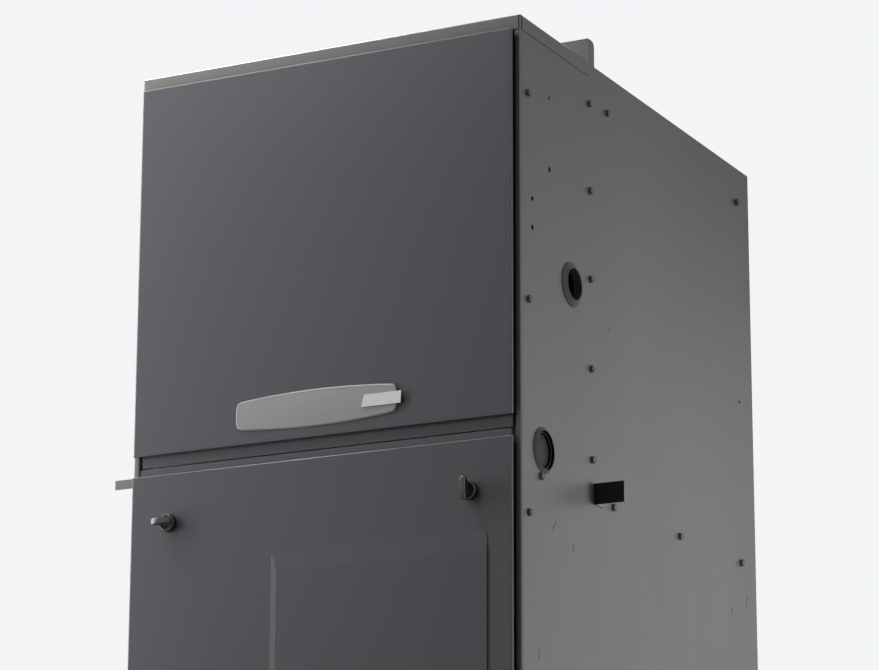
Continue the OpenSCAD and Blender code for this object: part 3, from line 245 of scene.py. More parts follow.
def make_grain_group():
    """Fine texture of a moulded or cast surface."""
    group, enter, leave = new_group("Moulded Grain", [
        ("Base", COLOUR, (0.03, 0.03, 0.03, 1.0)),
        ("Fineness", VALUE, 1100.0),
        ("Mottle", VALUE, 0.15),
        ("Sheen", VALUE, 0.5),
    ])
    place = part_coordinates(group)
    fine = noise(group, place, scale=enter["Fineness"], detail=3.0)
    broad = noise(group, place, scale=26.0, detail=3.0, roughness=0.6)
    tone = maths(group, "ADD", swing(group, broad, 1.0), swing(group, fine, 0.8))
    put_out(group, leave, enter["Base"], tone, enter["Mottle"],
            roughness=maths(group, "ADD", enter["Sheen"], swing(group, broad, 0.16)),
            height=fine)
    return group


def make_drawn_group():
    """Draw lines of rolled or turned metal along one axis of the part."""
    group, enter, leave = new_group("Draw Lines", [
        ("Metal", COLOUR, (0.5, 0.5, 0.5, 1.0)),
        ("Across", VECTOR, (900.0, 12.0, 900.0)),
        ("Stain", VALUE, 0.2),
    ])
    place = part_coordinates(group)
    along = vector_maths(group, "MULTIPLY", {0: place, 1: enter["Across"]})
    lines = noise(group, along, scale=1.0, detail=3.0)
    stain = noise(group, place, scale=9.0, detail=4.0, roughness=0.6)
    tone = maths(group, "ADD", swing(group, lines, 0.35), swing(group, stain, enter["Stain"]))
    put_out(group, leave, enter["Metal"], tone, 1.0,
            roughness=maths(group, "MULTIPLY_ADD", lines, 0.24, 0.26),
            height=lines)
    return group


def make_cell_group():
    """Closed cells of foam and of seal strip, darker in the middle of each: painted shade in each
    cell's hollow.
    """
    group, enter, leave = new_group("Foam Cells", [
        ("Base", COLOUR, (0.02, 0.02, 0.02, 1.0)),
        ("Cells", VALUE, 700.0),
    ])
    distance = cell_pattern(group, part_coordinates(group), enter["Cells"])["Distance"]
    depth = ramp(group, distance, 0.0, 0.8)
    # The tone follows the hollows: darker where each cell is deepest, as painted shade.
    put_out(group, leave, enter["Base"], swing(group, depth, 1.0), 0.6,
            roughness=maths(group, "MULTIPLY_ADD", depth, 0.15, 0.8),
            height=depth)
    return group


def make_dust_group():
    """Dust that settles on what faces up, in soft patches."""
    group, enter, leave = new_group("Settled Dust", [
        ("Under", COLOUR, (0.1, 0.1, 0.1, 1.0)),
        ("Amount", VALUE, 0.3),
    ], [("Colour", COLOUR)])
    geometry = group.nodes.new("ShaderNodeNewGeometry")
    up = ramp(group, facing(group, geometry.outputs["Normal"])["Z"], 0.55, 1.0)
    settled = noise(group, part_coordinates(group), scale=34.0, detail=5.0, roughness=0.65)
    patches = ramp(group, settled, 0.3, 0.75)
    amount = maths(group, "MULTIPLY", maths(group, "MULTIPLY", up, patches), enter["Amount"],
                   clamp=True)
    feed(group, blend_colours(group, amount, enter["Under"], (0.30, 0.29, 0.27, 1.0)),
         leave["Colour"])
    return group


def make_bend_gloss_group():
    """Thicker gloss where enamel runs over a bend than on the flats."""
    group, enter, leave = new_group("Bend Gloss", [
        ("Flat", VALUE, 0.1),
        ("Bend", VALUE, 1.0),
    ], [("Coat", VALUE)])
    normal = facing(group, group.nodes.new("ShaderNodeTexCoord").outputs["Normal"])
    x, y, z = (maths(group, "ABSOLUTE", normal[axis]) for axis in "XYZ")
    bend = ramp(group, maths(group, "MAXIMUM", maths(group, "MAXIMUM", x, y), z), 0.975, 0.92)
    wave = noise(group, part_coordinates(group), scale=60.0)
    uneven = maths(group, "MULTIPLY_ADD", wave, 0.3, 0.85)
    extra = maths(group, "SUBTRACT", enter["Bend"], enter["Flat"])
    coat = maths(group, "MULTIPLY_ADD", extra, bend, enter["Flat"])
    feed(group, maths(group, "MULTIPLY", coat, uneven, clamp=True), leave["Coat"])
    return group


GROUP_MAKERS = {
    "enamel": make_enamel_group,
    "spangle": make_spangle_group,
    "grain": make_grain_group,
    "drawn": make_drawn_group,
    "cells": make_cell_group,
    "dust": make_dust_group,
    "bend gloss": make_bend_gloss_group,
}
GROUPS = {}


def place_group(tree, name, values):
    """A shared group in a material's tree, built once; returns its outputs there."""
    if name not in GROUPS:
        GROUPS[name] = GROUP_MAKERS[name]()
    return add_node(tree, "ShaderNodeGroup", values, node_tree=GROUPS[name]).outputs


# -------------------- finishes

COAT_ROUGHNESS = 0.2
BEND_IOR = 1.7


def finish_material(name, group, values, metallic=0.0, bump=0.1, depth=0.0002, dust=0.0,
                    coat=0.0, specular=0.5, bend_gloss=0.0):
    """A material whose group feeds the principled shader's colour, roughness and bump."""
    material = bpy.data.materials.new(name)
    material.use_nodes = True
    tree = material.node_tree
    effect = place_group(tree, group, values)
    colour = effect["Colour"]
    if dust > 0:
        colour = place_group(tree, "dust", {"Under": colour, "Amount": dust})["Colour"]
    relief = add_node(tree, "ShaderNodeBump", {
        "Strength": bump, "Distance": depth, "Height": effect["Height"]})
    settings = {
        "Base Color": colour,
        "Roughness": effect["Roughness"],
        "Normal": relief.outputs["Normal"],
        "Metallic": metallic,
        "Specular IOR Level": specular,
    }
    if coat > 0 or bend_gloss > 0:
        settings["Coat Weight"] = coat
        settings["Coat Roughness"] = COAT_ROUGHNESS
    if bend_gloss > 0:
        gloss = place_group(tree, "bend gloss", {"Flat": coat, "Bend": bend_gloss})
        settings["Coat Weight"] = gloss["Coat"]
        settings["Coat IOR"] = BEND_IOR
    fill(tree, tree.nodes["Principled BSDF"], settings)
    return material


# Each of these gives a finish's group, that group's values and the material's own settings.


def enamel(paint, drift, sheen, **settings):
    return "enamel", {"Paint": (*paint, 1.0), "Drift": drift, "Sheen": sheen}, settings


def spangle(metal, grain, contrast, **settings):
    return "spangle", {"Metal": (*metal, 1.0), "Grain": grain, "Contrast": contrast}, settings


def moulded(base, sheen, fineness=1100.0, mottle=0.15, **settings):
    values = {"Base": (*base, 1.0), "Fineness": fineness, "Mottle": mottle, "Sheen": sheen}
    return "grain", values, settings


def drawn(metal, across, stain, **settings):
    return "drawn", {"Metal": (*metal, 1.0), "Across": across, "Stain": stain}, settings


def cellular(base, cells, **settings):
    return "cells", {"Base": (*base, 1.0), "Cells": cells}, settings


def finish_table():
    """Every finish by name."""
    paint = bpy.context.scene.furnace_paint
    sizes = bpy.context.scene.furnace_sizes
    peel, dust = sizes.peel, sizes.dust
    return {
        "door enamel": enamel(
            paint.door, drift=0.10, sheen=0.5, bump=peel, depth=0.0003, dust=dust * 0.6,
            specular=0.1, coat=0.1, bend_gloss=0.75),
        "cabinet enamel": enamel(
            paint.cabinet, drift=0.06, sheen=0.5, bump=peel, depth=0.0003, dust=dust,
            specular=0.06, bend_gloss=0.7),
        # Near black, for the right side tab only: painted shade on a tab that stands in the
        # cabinet's shadow.
        "tab painted shade enamel": enamel(
            (0.012, 0.012, 0.013), drift=0.12, sheen=0.4, bump=peel, depth=0.0003, dust=dust,
            specular=0.2),
        "motor enamel": enamel(
            (0.035, 0.036, 0.04), drift=0.2, sheen=0.4, bump=0.2, depth=0.0004, dust=dust),
        "pipe black": enamel(
            (0.03, 0.03, 0.032), drift=0.3, sheen=0.5, bump=0.35, depth=0.0005, dust=dust),
        "galvanised sheet": spangle(
            (0.50, 0.51, 0.52), grain=95.0, contrast=0.3, metallic=0.85, bump=0.08, dust=dust),
        "aluminised steel": drawn(
            (0.50, 0.48, 0.45), (500, 30, 500), stain=0.5, metallic=0.8, bump=0.12, dust=dust),
        "bare steel": drawn(
            (0.42, 0.42, 0.41), (700, 700, 25), stain=0.3, metallic=0.9, bump=0.15, dust=dust),
        "fin aluminium": drawn(
            (0.68, 0.69, 0.70), (20, 700, 700), stain=0.15, metallic=0.9, dust=dust),
        "brass": drawn((0.60, 0.44, 0.20), (900, 40, 900), stain=0.25, metallic=0.95),
        "tag metal": drawn(
            (0.46, 0.46, 0.46), (40, 40, 2200), stain=0.08, metallic=0.35, bump=0.08),
        "vent pipe plastic": drawn(
            (0.62, 0.62, 0.59), (300, 300, 8), stain=0.12, bump=0.08, dust=dust * 0.5),
        "screw zinc": moulded(
            (0.165, 0.165, 0.161), sheen=0.6, fineness=1500.0, mottle=0.3, specular=0.06),
        "cast aluminium": moulded(
            (0.36, 0.37, 0.38), sheen=0.42, fineness=800.0, mottle=0.3, metallic=0.75, bump=0.5,
            depth=0.0004, dust=dust),
        "nameplate paint": moulded(
            paint.nameplate, sheen=0.36, fineness=1800.0, mottle=0.05, bump=0.04, coat=0.15),
        "latch plastic": moulded(
            paint.latch, sheen=0.26, fineness=1600.0, mottle=0.1, bump=0.03, coat=0.15,
            specular=0.4),
        "black plastic": moulded((0.016, 0.016, 0.017), sheen=0.48, bump=0.25, dust=dust),
        "dark plastic": moulded((0.028, 0.029, 0.031), sheen=0.5, bump=0.3, dust=dust),
        "plug plastic": moulded((0.095, 0.095, 0.095), sheen=0.55, bump=0.2, specular=0.06),
        # The plug plastic made darker for the plugs' recessed floors: painted shade.
        "plug floor painted shade": moulded((0.042, 0.042, 0.042), sheen=0.6, bump=0.2, specular=0.06),
        # Near black for the plugs' cup walls: painted shade inside the recess.
        "plug wall painted shade": moulded((0.006, 0.006, 0.006), sheen=0.8, bump=0.2, specular=0.02),
        "white plastic": moulded((0.60, 0.59, 0.56), sheen=0.42, bump=0.15, dust=dust * 0.5),
        "red plastic": moulded((0.40, 0.045, 0.03), sheen=0.4, bump=0.15, dust=dust * 0.5),
        "ceramic": moulded(
            (0.66, 0.62, 0.54), sheen=0.75, fineness=600.0, mottle=0.25, bump=0.4),
        "circuit board": moulded(
            (0.018, 0.10, 0.045), sheen=0.35, fineness=500.0, mottle=0.4, bump=0.2),
        "silicone hose": moulded((0.30, 0.035, 0.022), sheen=0.38),
        "rubber hose": moulded((0.016, 0.016, 0.017), sheen=0.5, bump=0.3),
        "foam": cellular((0.018, 0.018, 0.019), cells=420.0, bump=0.6, depth=0.0006),
        # Near black seal foam: its own dark colour, and also painted shade for the dark gap round
        # each door.
        "seal and gap shade": cellular((0.011, 0.011, 0.011), cells=700.0, bump=0.5, depth=0.0004),
        "wire sleeve": cellular((0.045, 0.046, 0.05), cells=900.0, bump=0.8, depth=0.0005),
    }


FINISHES = {}


def finish(name):
    """A finish, built the first time that it is asked for."""
    if name not in FINISHES:
        group, values, settings = finish_table()[name]
        FINISHES[name] = finish_material(name, group, values, **settings)
    return FINISHES[name]


# -------------------- mesh helpers

MERGE_SOLIDS, MERGE_FACES = 1e-6, 1e-7  # how near doubled points are
FLAT_ANGLE = 0.004  # radians
SHEET_FLAT_WIDTH = 0.006  # narrower flats, such as a fold's facets, stay smooth
CAD_SMOOTH_ANGLE = math.radians(40)


def add_object(name, bm, material):
    """Puts a bmesh in the scene as an object of one material."""
    mesh = bpy.data.meshes.new(name)
    bm.to_mesh(mesh)
    bm.free()
    mesh.materials.append(material)
    made = bpy.data.objects.new(name, mesh)
    bpy.context.scene.collection.objects.link(made)
    return made


def new_piece(name, bm, smooth_degrees, finish_name, body):
    """A finished piece on its body, smooth except where its faces turn sharply."""
    bmesh.ops.recalc_face_normals(bm, faces=bm.faces)
    limit = math.radians(smooth_degrees)
    for face in bm.faces:
        face.smooth = True
    for edge in bm.edges:
        edge.smooth = len(edge.link_faces) == 2 and edge.calc_face_angle(0.0) < limit
    piece = add_object(name, bm, finish(finish_name))
    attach(piece, body)
    return piece


def skin(bm, loops, ends=(True, True)):
    """Joins closed loops of equal length, one after another, and closes either end."""
    for first, second in zip(loops, loops[1:]):
        for k in range(len(first)):
            following = (k + 1) % len(first)
            bm.faces.new((first[k], first[following], second[following], second[k]))
    for closed, loop in zip(ends, (loops[0], loops[-1])):
        if closed:
            bm.faces.new(loop)


def revolve(bm, profile, place, axis, count, side=1.0, ends=(True, True)):
    """A turned form over a profile of (radius, distance along the axis)."""
    loops = []
    for radius, along in profile:
        loop = []
        for k in range(count):
            angle = 2 * math.pi * k / count
            u, v = radius * math.cos(angle), radius * math.sin(angle)
            offset = (u, side * along, v) if axis == "y" else (side * along, u, v)
            loop.append(bm.verts.new(Vector(place) + Vector(offset)))
        loops.append(loop)
    skin(bm, loops, ends)


def corners_of(points):
    """The lowest and the highest corner of some points' box."""
    return (Vector([min(p[i] for p in points) for i in range(3)]),
            Vector([max(p[i] for p in points) for i in range(3)]))


def connected(items, neighbours):
    """The items in groups that reach each other from neighbour to neighbour."""
    seen, groups = set(), []
    for start in items:
        if start in seen:
            continue
        seen.add(start)
        stack, group = [start], []
        while stack:
            item = stack.pop()
            group.append(item)
            for other in neighbours(item):
                if other not in seen:
                    seen.add(other)
                    stack.append(other)
        groups.append(group)
    return groups


def merged_bmesh(mesh, distance):
    """A bmesh of a mesh with its doubled points merged."""
    bm = bmesh.new()
    bm.from_mesh(mesh)
    bmesh.ops.remove_doubles(bm, verts=bm.verts, dist=distance)
    return bm


def level_faces(face):
    """The faces round a face that carry on in its plane."""
    return [other for edge in face.edges
            if len(edge.link_faces) == 2 and edge.calc_face_angle(1.0) < FLAT_ANGLE
            for other in edge.link_faces]


def solid_boxes(name):
    """Boxes of the separate solids of a CAD node: (lowest, highest) corner each."""
    bm = merged_bmesh(NODES[name].data, MERGE_SOLIDS)
    solids = connected(bm.verts, lambda point: [e.other_vert(point) for e in point.link_edges])
    boxes = [corners_of([point.co for point in solid]) for solid in solids]
    bm.free()
    return boxes


def flat_regions(mesh, least_width):
    """Numbers of the faces that lie in flat regions wider than the given width."""
    bm = merged_bmesh(mesh, MERGE_FACES)
    flat = set()
    # Where merging drops a face, the numbers no longer fit and the mesh is left as it is.
    if len(bm.faces) == len(mesh.polygons):
        for region in connected(bm.faces, level_faces):
            low, high = corners_of([point.co for face in region for point in face.verts])
            if sum(face.calc_area() for face in region) > least_width * (high - low).length:
                flat.update(face.index for face in region)
    bm.free()
    return flat


def shade(mesh, is_sheet):
    """Shades a CAD node's curves smoothly and a sheet's broad flats flat; its points stay."""
    mesh.shade_smooth()
    mesh.set_sharp_from_angle(angle=CAD_SMOOTH_ANGLE)
    for number in flat_regions(mesh, SHEET_FLAT_WIDTH) if is_sheet else ():
        mesh.polygons[number].use_smooth = False


# -------------------- finishes of the CAD nodes

SHEET_NODES = {
    "left_side_panel", "right_side_panel", "back_panel", "base_frame", "mid_rail", "top_cap",
    "supply_air_rim", "duct_flange", "vestibule_panel", "blower_deck", "left_side_tab",
    "right_side_tab", "upper_door_skin", "upper_door_liner", "lower_door_skin",
    "lower_door_liner", "nameplate_tag", "gas_valve", "burner_box", "rear_header",
    "control_box", "collector_box", "condensate_trap",
}

NODE_FINISHES = {
    "cabinet": {
        "cabinet enamel": ["left_side_panel", "right_side_panel", "back_panel", "top_cap",
                           "duct_flange", "left_side_tab"],
        "galvanised sheet": ["base_frame", "mid_rail", "supply_air_rim", "vestibule_panel",
                             "blower_deck"],
        # The right side tab's near black is painted shade; the left tab keeps the cabinet's
        # enamel.
        "tab painted shade enamel": ["right_side_tab"],
        "plug plastic": ["gas_grommet", "drain_grommet", "side_plugs"],
        "screw zinc": ["side_screws"],
    },
    "doors": {
        "door enamel": ["upper_door_skin", "upper_door_liner", "lower_door_skin"],
        "galvanised sheet": ["lower_door_liner"],
        "foam": ["upper_door_core", "lower_door_core"],
        # The seals' near black is partly their foam's colour and partly painted shade for the gap
        # round the doors.
        "seal and gap shade": ["upper_door_seal", "lower_door_seal"],
        "nameplate paint": ["nameplate"],
        "tag metal": ["nameplate_tag"],
        "latch plastic": ["left_latch_knob", "right_latch_knob"],
        "bare steel": ["left_latch_cam", "right_latch_cam"],
    },
    "heat": {
        "aluminised steel": ["primary_tubes", "rear_header", "burners"],
        "bare steel": ["coil_tubes"],
        "fin aluminium": ["coil_fins"],
        "galvanised sheet": ["burner_box"],
        "black plastic": ["collector_box", "inducer_wheel", "pipe_couplings", "condensate_trap"],
        "dark plastic": ["inducer_housing", "pressure_switches"],
        "motor enamel": ["inducer_motor"],
        "vent pipe plastic": ["vent_pipe"],
        "silicone hose": ["pressure_hoses"],
        "rubber hose": ["drain_hose"],
    },
    "gas": {
        "pipe black": ["gas_manifold"],
        "brass": ["gas_orifices"],
        "cast aluminium": ["gas_valve"],
        "red plastic": ["gas_valve_knob"],
        "ceramic": ["igniter", "flame_sensor"],
    },
    "blower": {
        "galvanised sheet": ["blower_housing", "blower_wheel", "control_box"],
        "motor enamel": ["blower_motor"],
        "bare steel": ["blower_motor_mount"],
        "white plastic": ["door_switch"],
        "red plastic": ["door_switch_plunger"],
        "wire sleeve": ["wiring_harness"],
    },
}


def dress_group(key):
    """Gives each CAD node of a group its finish in all its slots, and its shading."""
    for finish_name, names in NODE_FINISHES[key].items():
        material = finish(finish_name)
        for name in names:
            mesh = NODES[name].data
            if not mesh.materials:
                mesh.materials.append(material)
            for number in range(len(mesh.materials)):
                mesh.materials[number] = material
            shade(mesh, name in SHEET_NODES)


class FURNACE_OT_cabinet(bpy.types.Operator):
    """Enamel, zinc and plastic of the cabinet's own pieces"""

    bl_idname = "furnace.cabinet"
    bl_label = "Finish the cabinet"

    def execute(self, context):
        dress_group("cabinet")
        return {"FINISHED"}


class FURNACE_OT_doors(bpy.types.Operator):
    """Enamel, foam and gaskets of the two doors"""

    bl_idname = "furnace.doors"
    bl_label = "Finish the doors"

    def execute(self, context):
        dress_group("doors")
        return {"FINISHED"}


class FURNACE_OT_heat(bpy.types.Operator):
    """Finishes of the heat exchanger and the flue"""

    bl_idname = "furnace.heat"
    bl_label = "Finish the heat exchanger"

    def execute(self, context):
        dress_group("heat")
        return {"FINISHED"}


class FURNACE_OT_gas(bpy.types.Operator):
    """Finishes of the gas valve, manifold and burners' fittings"""

    bl_idname = "furnace.gas"
    bl_label = "Finish the gas train"

    def execute(self, context):
        dress_group("gas")
        return {"FINISHED"}


class FURNACE_OT_blower(bpy.types.Operator):
    """Finishes of the blower and its controls"""

    bl_idname = "furnace.blower"
    bl_label = "Finish the blower"

    def execute(self, context):
        dress_group("blower")
        return {"FINISHED"}


# -------------------- side screws

SCREW_POINTS = 24
SCREW_TURN = 0.37  # radians from one head to the next, so that no two line up
SIXTH = math.pi / 3  # of a turn


def screw_rings(hex_width, washer_width, height):
    """Rings of one hex washer head, from the sheet outwards: radius, rise, whether a hexagon."""
    washer = washer_width / 2
    corner = hex_width / math.sqrt(3)
    return [
        (washer, 0.0, False),
        (washer, 0.00055, False),
        (washer - 0.0003, 0.0009, False),
        (corner + 0.0002, 0.0012, False),
        (corner, 0.0013, True),
        (corner, height - 0.0007, True),
        (corner - 0.0005, height - 0.0001, True),
        (corner - 0.0013, height, False),
        (corner - 0.0017, height - 0.0004, False),
        (corner - 0.0022, height - 0.0005, False),
    ]


def add_screw(bm, place, side, rings, turn):
    """One screw head on the outside of a side panel."""
    loops = []
    for radius, rise, hexagonal in rings:
        loop = []
        for k in range(SCREW_POINTS):
            angle = 2 * math.pi * k / SCREW_POINTS
            reach = radius
            if hexagonal:
                from_flat = (angle + SIXTH / 2) % SIXTH - SIXTH / 2
                reach = radius * math.cos(SIXTH / 2) / math.cos(from_flat)
            y = place.y + reach * math.cos(angle + turn)
            z = place.z + reach * math.sin(angle + turn)
            loop.append(bm.verts.new((place.x + side * rise, y, z)))
        loops.append(loop)
    skin(bm, loops)


class FURNACE_OT_side_screws(bpy.types.Operator):
    """Hex washer head screws of both side panels"""

    bl_idname = "furnace.side_screws"
    bl_label = "Make the side screws"

    def execute(self, context):
        sizes = context.scene.furnace_sizes
        bm = bmesh.new()
        for number, (low, high) in enumerate(solid_boxes("side_screws")):
            side = 1.0 if high.x > 0 else -1.0
            place = (low + high) / 2
            place.x = low.x if side > 0 else high.x
            rings = screw_rings(sizes.screw_hex, sizes.screw_washer, high.x - low.x)
            add_screw(bm, place, side, rings, SCREW_TURN * number)
        piece = new_piece("side_screw_heads", bm, 30.0, "screw zinc", "cabinet")
        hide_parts("side_screws")
        return {"FINISHED"}


# -------------------- lanced slots

VESTIBULE = 0.203  # depth of the burner compartment
DECK = 0.468  # height of the blower deck
# Distance behind the panel's front (before its back, where negative), height, tilt in
# degrees, length, width
SLOTS = [
    (0.086, DECK - 0.063, -40, 0.017, 0.0022),
    (0.138, DECK - 0.081, 8, 0.0105, 0.0035),
    (VESTIBULE + 0.046, DECK + 0.214, 8, 0.007, 0.0032),
    (-0.0897, DECK - 0.077, 4, 0.0085, 0.004),
    (-0.0377, DECK - 0.056, -14, 0.016, 0.0026),
    (0.042, DECK - 0.223, 0, 0.011, 0.005),
]
LIP_END_POINTS = 7
LIP_WIDTH = 0.92  # share of the slot's width
LIP_START, LIP_FALL = 0.0001, 0.0003  # depth at the hinge, and how much deeper across the slot
LIP_THICKNESS = 0.0006


def slot_outline(length, width):
    """A slot with round ends, as (across, along) points from its middle."""
    points = []
    for end, shift in enumerate(((length - width) / 2, (width - length) / 2)):
        for i in range(LIP_END_POINTS):
            angle = math.pi * (end + i / (LIP_END_POINTS - 1))
            points.append((width / 2 * math.cos(angle), shift + width / 2 * math.sin(angle)))
    return points


def slot_lip(bm, side, outer, place_y, place_z, tilt, length, width):
    """The strip of sheet that a lance has pushed in, hinged along one long side of its slot."""
    turn = math.radians(tilt)
    loops = []
    for depth in (0.0, LIP_THICKNESS):
        loop = []
        for across, along in slot_outline(length, width):
            share = (across + width / 2) / width
            across = share * LIP_WIDTH * width - width / 2
            x = outer - side * (LIP_START + LIP_FALL * share + depth)
            y = place_y + across * math.cos(turn) - along * math.sin(turn)
            z = place_z + across * math.sin(turn) + along * math.cos(turn)
            loop.append(bm.verts.new((x, y, z)))
        loops.append(loop)
    skin(bm, loops)


class FURNACE_OT_slot_lips(bpy.types.Operator):
    """Lanced strips in the slots of both side panels"""

    bl_idname = "furnace.slot_lips"
    bl_label = "Make the slot lips"

    def execute(self, context):
        low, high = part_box("right_side_panel")
        bm = bmesh.new()
        for side in (1.0, -1.0):
            for distance, place_z, tilt, length, width in SLOTS:
                place_y = (low[1] if distance > 0 else high[1]) + distance
                slot_lip(bm, side, side * high[0], place_y, place_z, tilt, length, width)
        new_piece("side_slot_lips", bm, 30.0, "cabinet enamel", "cabinet")
        return {"FINISHED"}


# -------------------- side plugs

PLUG_DEPTH = 0.0034  # how far the solid stands out of the sheet
# Radius and distance out of the sheet
PLUG_FLANGE = [
    (0.0212, -0.0055), (0.0212, 0.0001), (0.0277, 0.0001), (0.0279, 0.0006), (0.0275, 0.0011),
    (0.0262, 0.0018), (0.0253, 0.0027), (0.0247, 0.0033), (0.0241, 0.0034), (0.0236, 0.0031),
]
PLUG_CUP = [
    (0.0236, 0.0031), (0.0231, 0.0022), (0.0226, 0.0006), (0.0206, -0.0006), (0.0204, -0.0028),
]
PLUG_FLOOR = [
    (0.0204, -0.0028), (0.0196, -0.0033), (0.0120, -0.0034), (0.0112, -0.0031),
    (0.0060, -0.0031), (0.0010, -0.0031),
]


class FURNACE_OT_side_plugs(bpy.types.Operator):
    """Snap-in plugs of the two unused side entries"""

    bl_idname = "furnace.side_plugs"
    bl_label = "Make the side plugs"

    def execute(self, context):
        boxes = solid_boxes("side_plugs")
        # Rims, cup walls and floors are one plastic: the near black walls and the floors darker
        # than the rims are painted shade in the recess.
        for name, profile, finish_name in (
            ("side_plug_rims", PLUG_FLANGE, "plug plastic"),
            ("side_plug_walls", PLUG_CUP, "plug wall painted shade"),
            ("side_plug_floors", PLUG_FLOOR, "plug floor painted shade"),
        ):
            bm = bmesh.new()
            for low, high in boxes:
                side = 1.0 if high.x > 0 else -1.0
                place = (low + high) / 2
                place.x = (high.x if side > 0 else low.x) - side * PLUG_DEPTH
                revolve(bm, profile, place, "x", count=64, side=side,
                        ends=(False, profile is PLUG_FLOOR))
            piece = new_piece(name, bm, 40.0, finish_name, "cabinet")
            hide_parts("side_plugs")
        return {"FINISHED"}


# -------------------- latches

KNOB_DEPTH = 0.022  # how far the solid stands out of the door's face
SHANK_RADIUS, SHANK_START = 0.005, 0.0072
# Radius and distance out of the door's face
BOSS_PROFILE = [
    (0.0110, 0.0), (0.0110, 0.0049), (0.01085, 0.0058), (0.0104, 0.0066), (0.0097, 0.0072),
    (0.0090, 0.0074), (0.0083, 0.0073), (0.0078, 0.0068), (0.0074, 0.0066), (0.0030, 0.0066),
]
BOSS_SEAT = 0.0003
WING_STEPS = 22
WING_HALF_WIDTH, WING_CREST, WING_CROWN = 0.0039, 0.0219, 0.0024
WING_ROUNDED = 0.16  # share of the half length over which each end narrows
WING_NARROWING = 0.0022
# Depth out of the face and share of the half length, from the foot up to below the crest
WING_FLARE = [(0.0052, 0.62), (0.0085, 0.66), (0.012, 0.74), (0.016, 0.86)]


def wing_section(length_share, half_length):
    """One cross-section of the wing, from foot to crest and back: (along, across, depth)."""
    edge = max(abs(length_share) - (1 - WING_ROUNDED), 0.0) / WING_ROUNDED
    width = WING_HALF_WIDTH - WING_NARROWING * (1 - math.sqrt(max(0.0, 1 - edge * edge)))
    crest = WING_CREST - WING_CROWN * length_share * length_share
    side = [(share * half_length, width, depth) for depth, share in WING_FLARE]
    side += [(0.985 * half_length, width, crest - 0.0011),
             (half_length, width - 0.0004, crest - 0.0004)]
    points = [(x, -w, d) for x, w, d in side]
    points += [(half_length, -width * 0.45, crest), (half_length, width * 0.45, crest)]
    points += reversed(side)
    return [(x * length_share, w, d) for x, w, d in points]


def make_latch_knob(name, node_name, body, lengthwise):
    """A knob with a rimmed boss and a crowned wing; lengthwise is the wing's direction."""
    low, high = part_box(node_name)
    centre = Vector(((low[0] + high[0]) / 2, 0.0, (low[2] + high[2]) / 2))
    half_length = max(high[0] - low[0], high[2] - low[2]) / 2
    face_y = low[1] + KNOB_DEPTH
    shank = high[1] - face_y + SHANK_START
    shank_profile = [(SHANK_RADIUS, 0.0), (SHANK_RADIUS, shank - 0.0007),
                     (SHANK_RADIUS - 0.0008, shank)]
    bm = bmesh.new()
    revolve(bm, BOSS_PROFILE, (centre.x, face_y - BOSS_SEAT, centre.z), "y", count=56, side=-1.0)
    revolve(bm, shank_profile, (centre.x, face_y - SHANK_START, centre.z), "y", count=32)
    across = Vector((0, 0, 1)) if lengthwise.x else Vector((1, 0, 0))
    loops = []
    for i in range(WING_STEPS + 1):
        share = math.sin(math.pi / 2 * (2 * i / WING_STEPS - 1))
        loop = []
        for along, width, depth in wing_section(share, half_length):
            place = centre + lengthwise * along + across * width
            loop.append(bm.verts.new((place.x, face_y - depth, place.z)))
        loops.append(loop)
    skin(bm, loops)
    piece = new_piece(name, bm, 32.0, "latch plastic", body)
    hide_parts(node_name)


class FURNACE_OT_latches(bpy.types.Operator):
    """Quarter turn latch knobs of the lower door"""

    bl_idname = "furnace.latches"
    bl_label = "Make the latch knobs"

    def execute(self, context):
        make_latch_knob("left_latch_handle", "left_latch_knob", "left_latch", Vector((1, 0, 0)))
        make_latch_knob("right_latch_handle", "right_latch_knob", "right_latch", Vector((0, 0, 1)))
        return {"FINISHED"}


# -------------------- nameplate

PLATE_BOW = 0.006  # how much the long edges bow out at their middle
PLATE_POINT = 0.0008  # how far each end stands out at mid height
PLATE_DOME = 0.19  # radius of the face's curve from top to bottom
PLATE_CORNER, PLATE_CORNER_LEAST = 0.0055, 0.0012
PLATE_STEPS = 18
# Inset from the outline and share of the plate's thickness, from the door outwards
PLATE_PROFILE = [
    (0.0, 0.0), (0.0, 0.4), (0.0003, 0.68), (0.0009, 0.88), (0.0016, 0.98), (0.0022, 0.995),
    (0.0028, 0.975), (0.0034, 0.93), (0.0045, 0.925), (0.007, 0.925), (0.010, 0.925),
    (0.013, 0.925), (0.0155, 0.925),
]


def boat_outline(half_width, half_height, inset):
    """Closed outline of the nameplate, drawn inside its edge by the inset."""
    hw, hh = half_width - inset, half_height - inset
    radius = (hw * hw + PLATE_BOW * PLATE_BOW) / (2 * PLATE_BOW)
    angle = math.asin(hw / radius)
    end = hh - PLATE_BOW
    corner = max(PLATE_CORNER - inset * 0.6, PLATE_CORNER_LEAST)
    upper = []
    for i in range(-PLATE_STEPS, PLATE_STEPS + 1):
        a = angle * (1 - corner / hw) * i / PLATE_STEPS
        upper.append((radius * math.sin(a), radius * math.cos(a) - radius + hh))
    bevel = [(hw - corner * 0.3, end - corner * 0.3), (hw, end - corner)]
    right = bevel + [(hw + PLATE_POINT, 0.0)] + [(x, -z) for x, z in reversed(bevel)]
    lower = [(x, -z) for x, z in reversed(upper)]
    return upper + right + lower + [(-x, -z) for x, z in right]


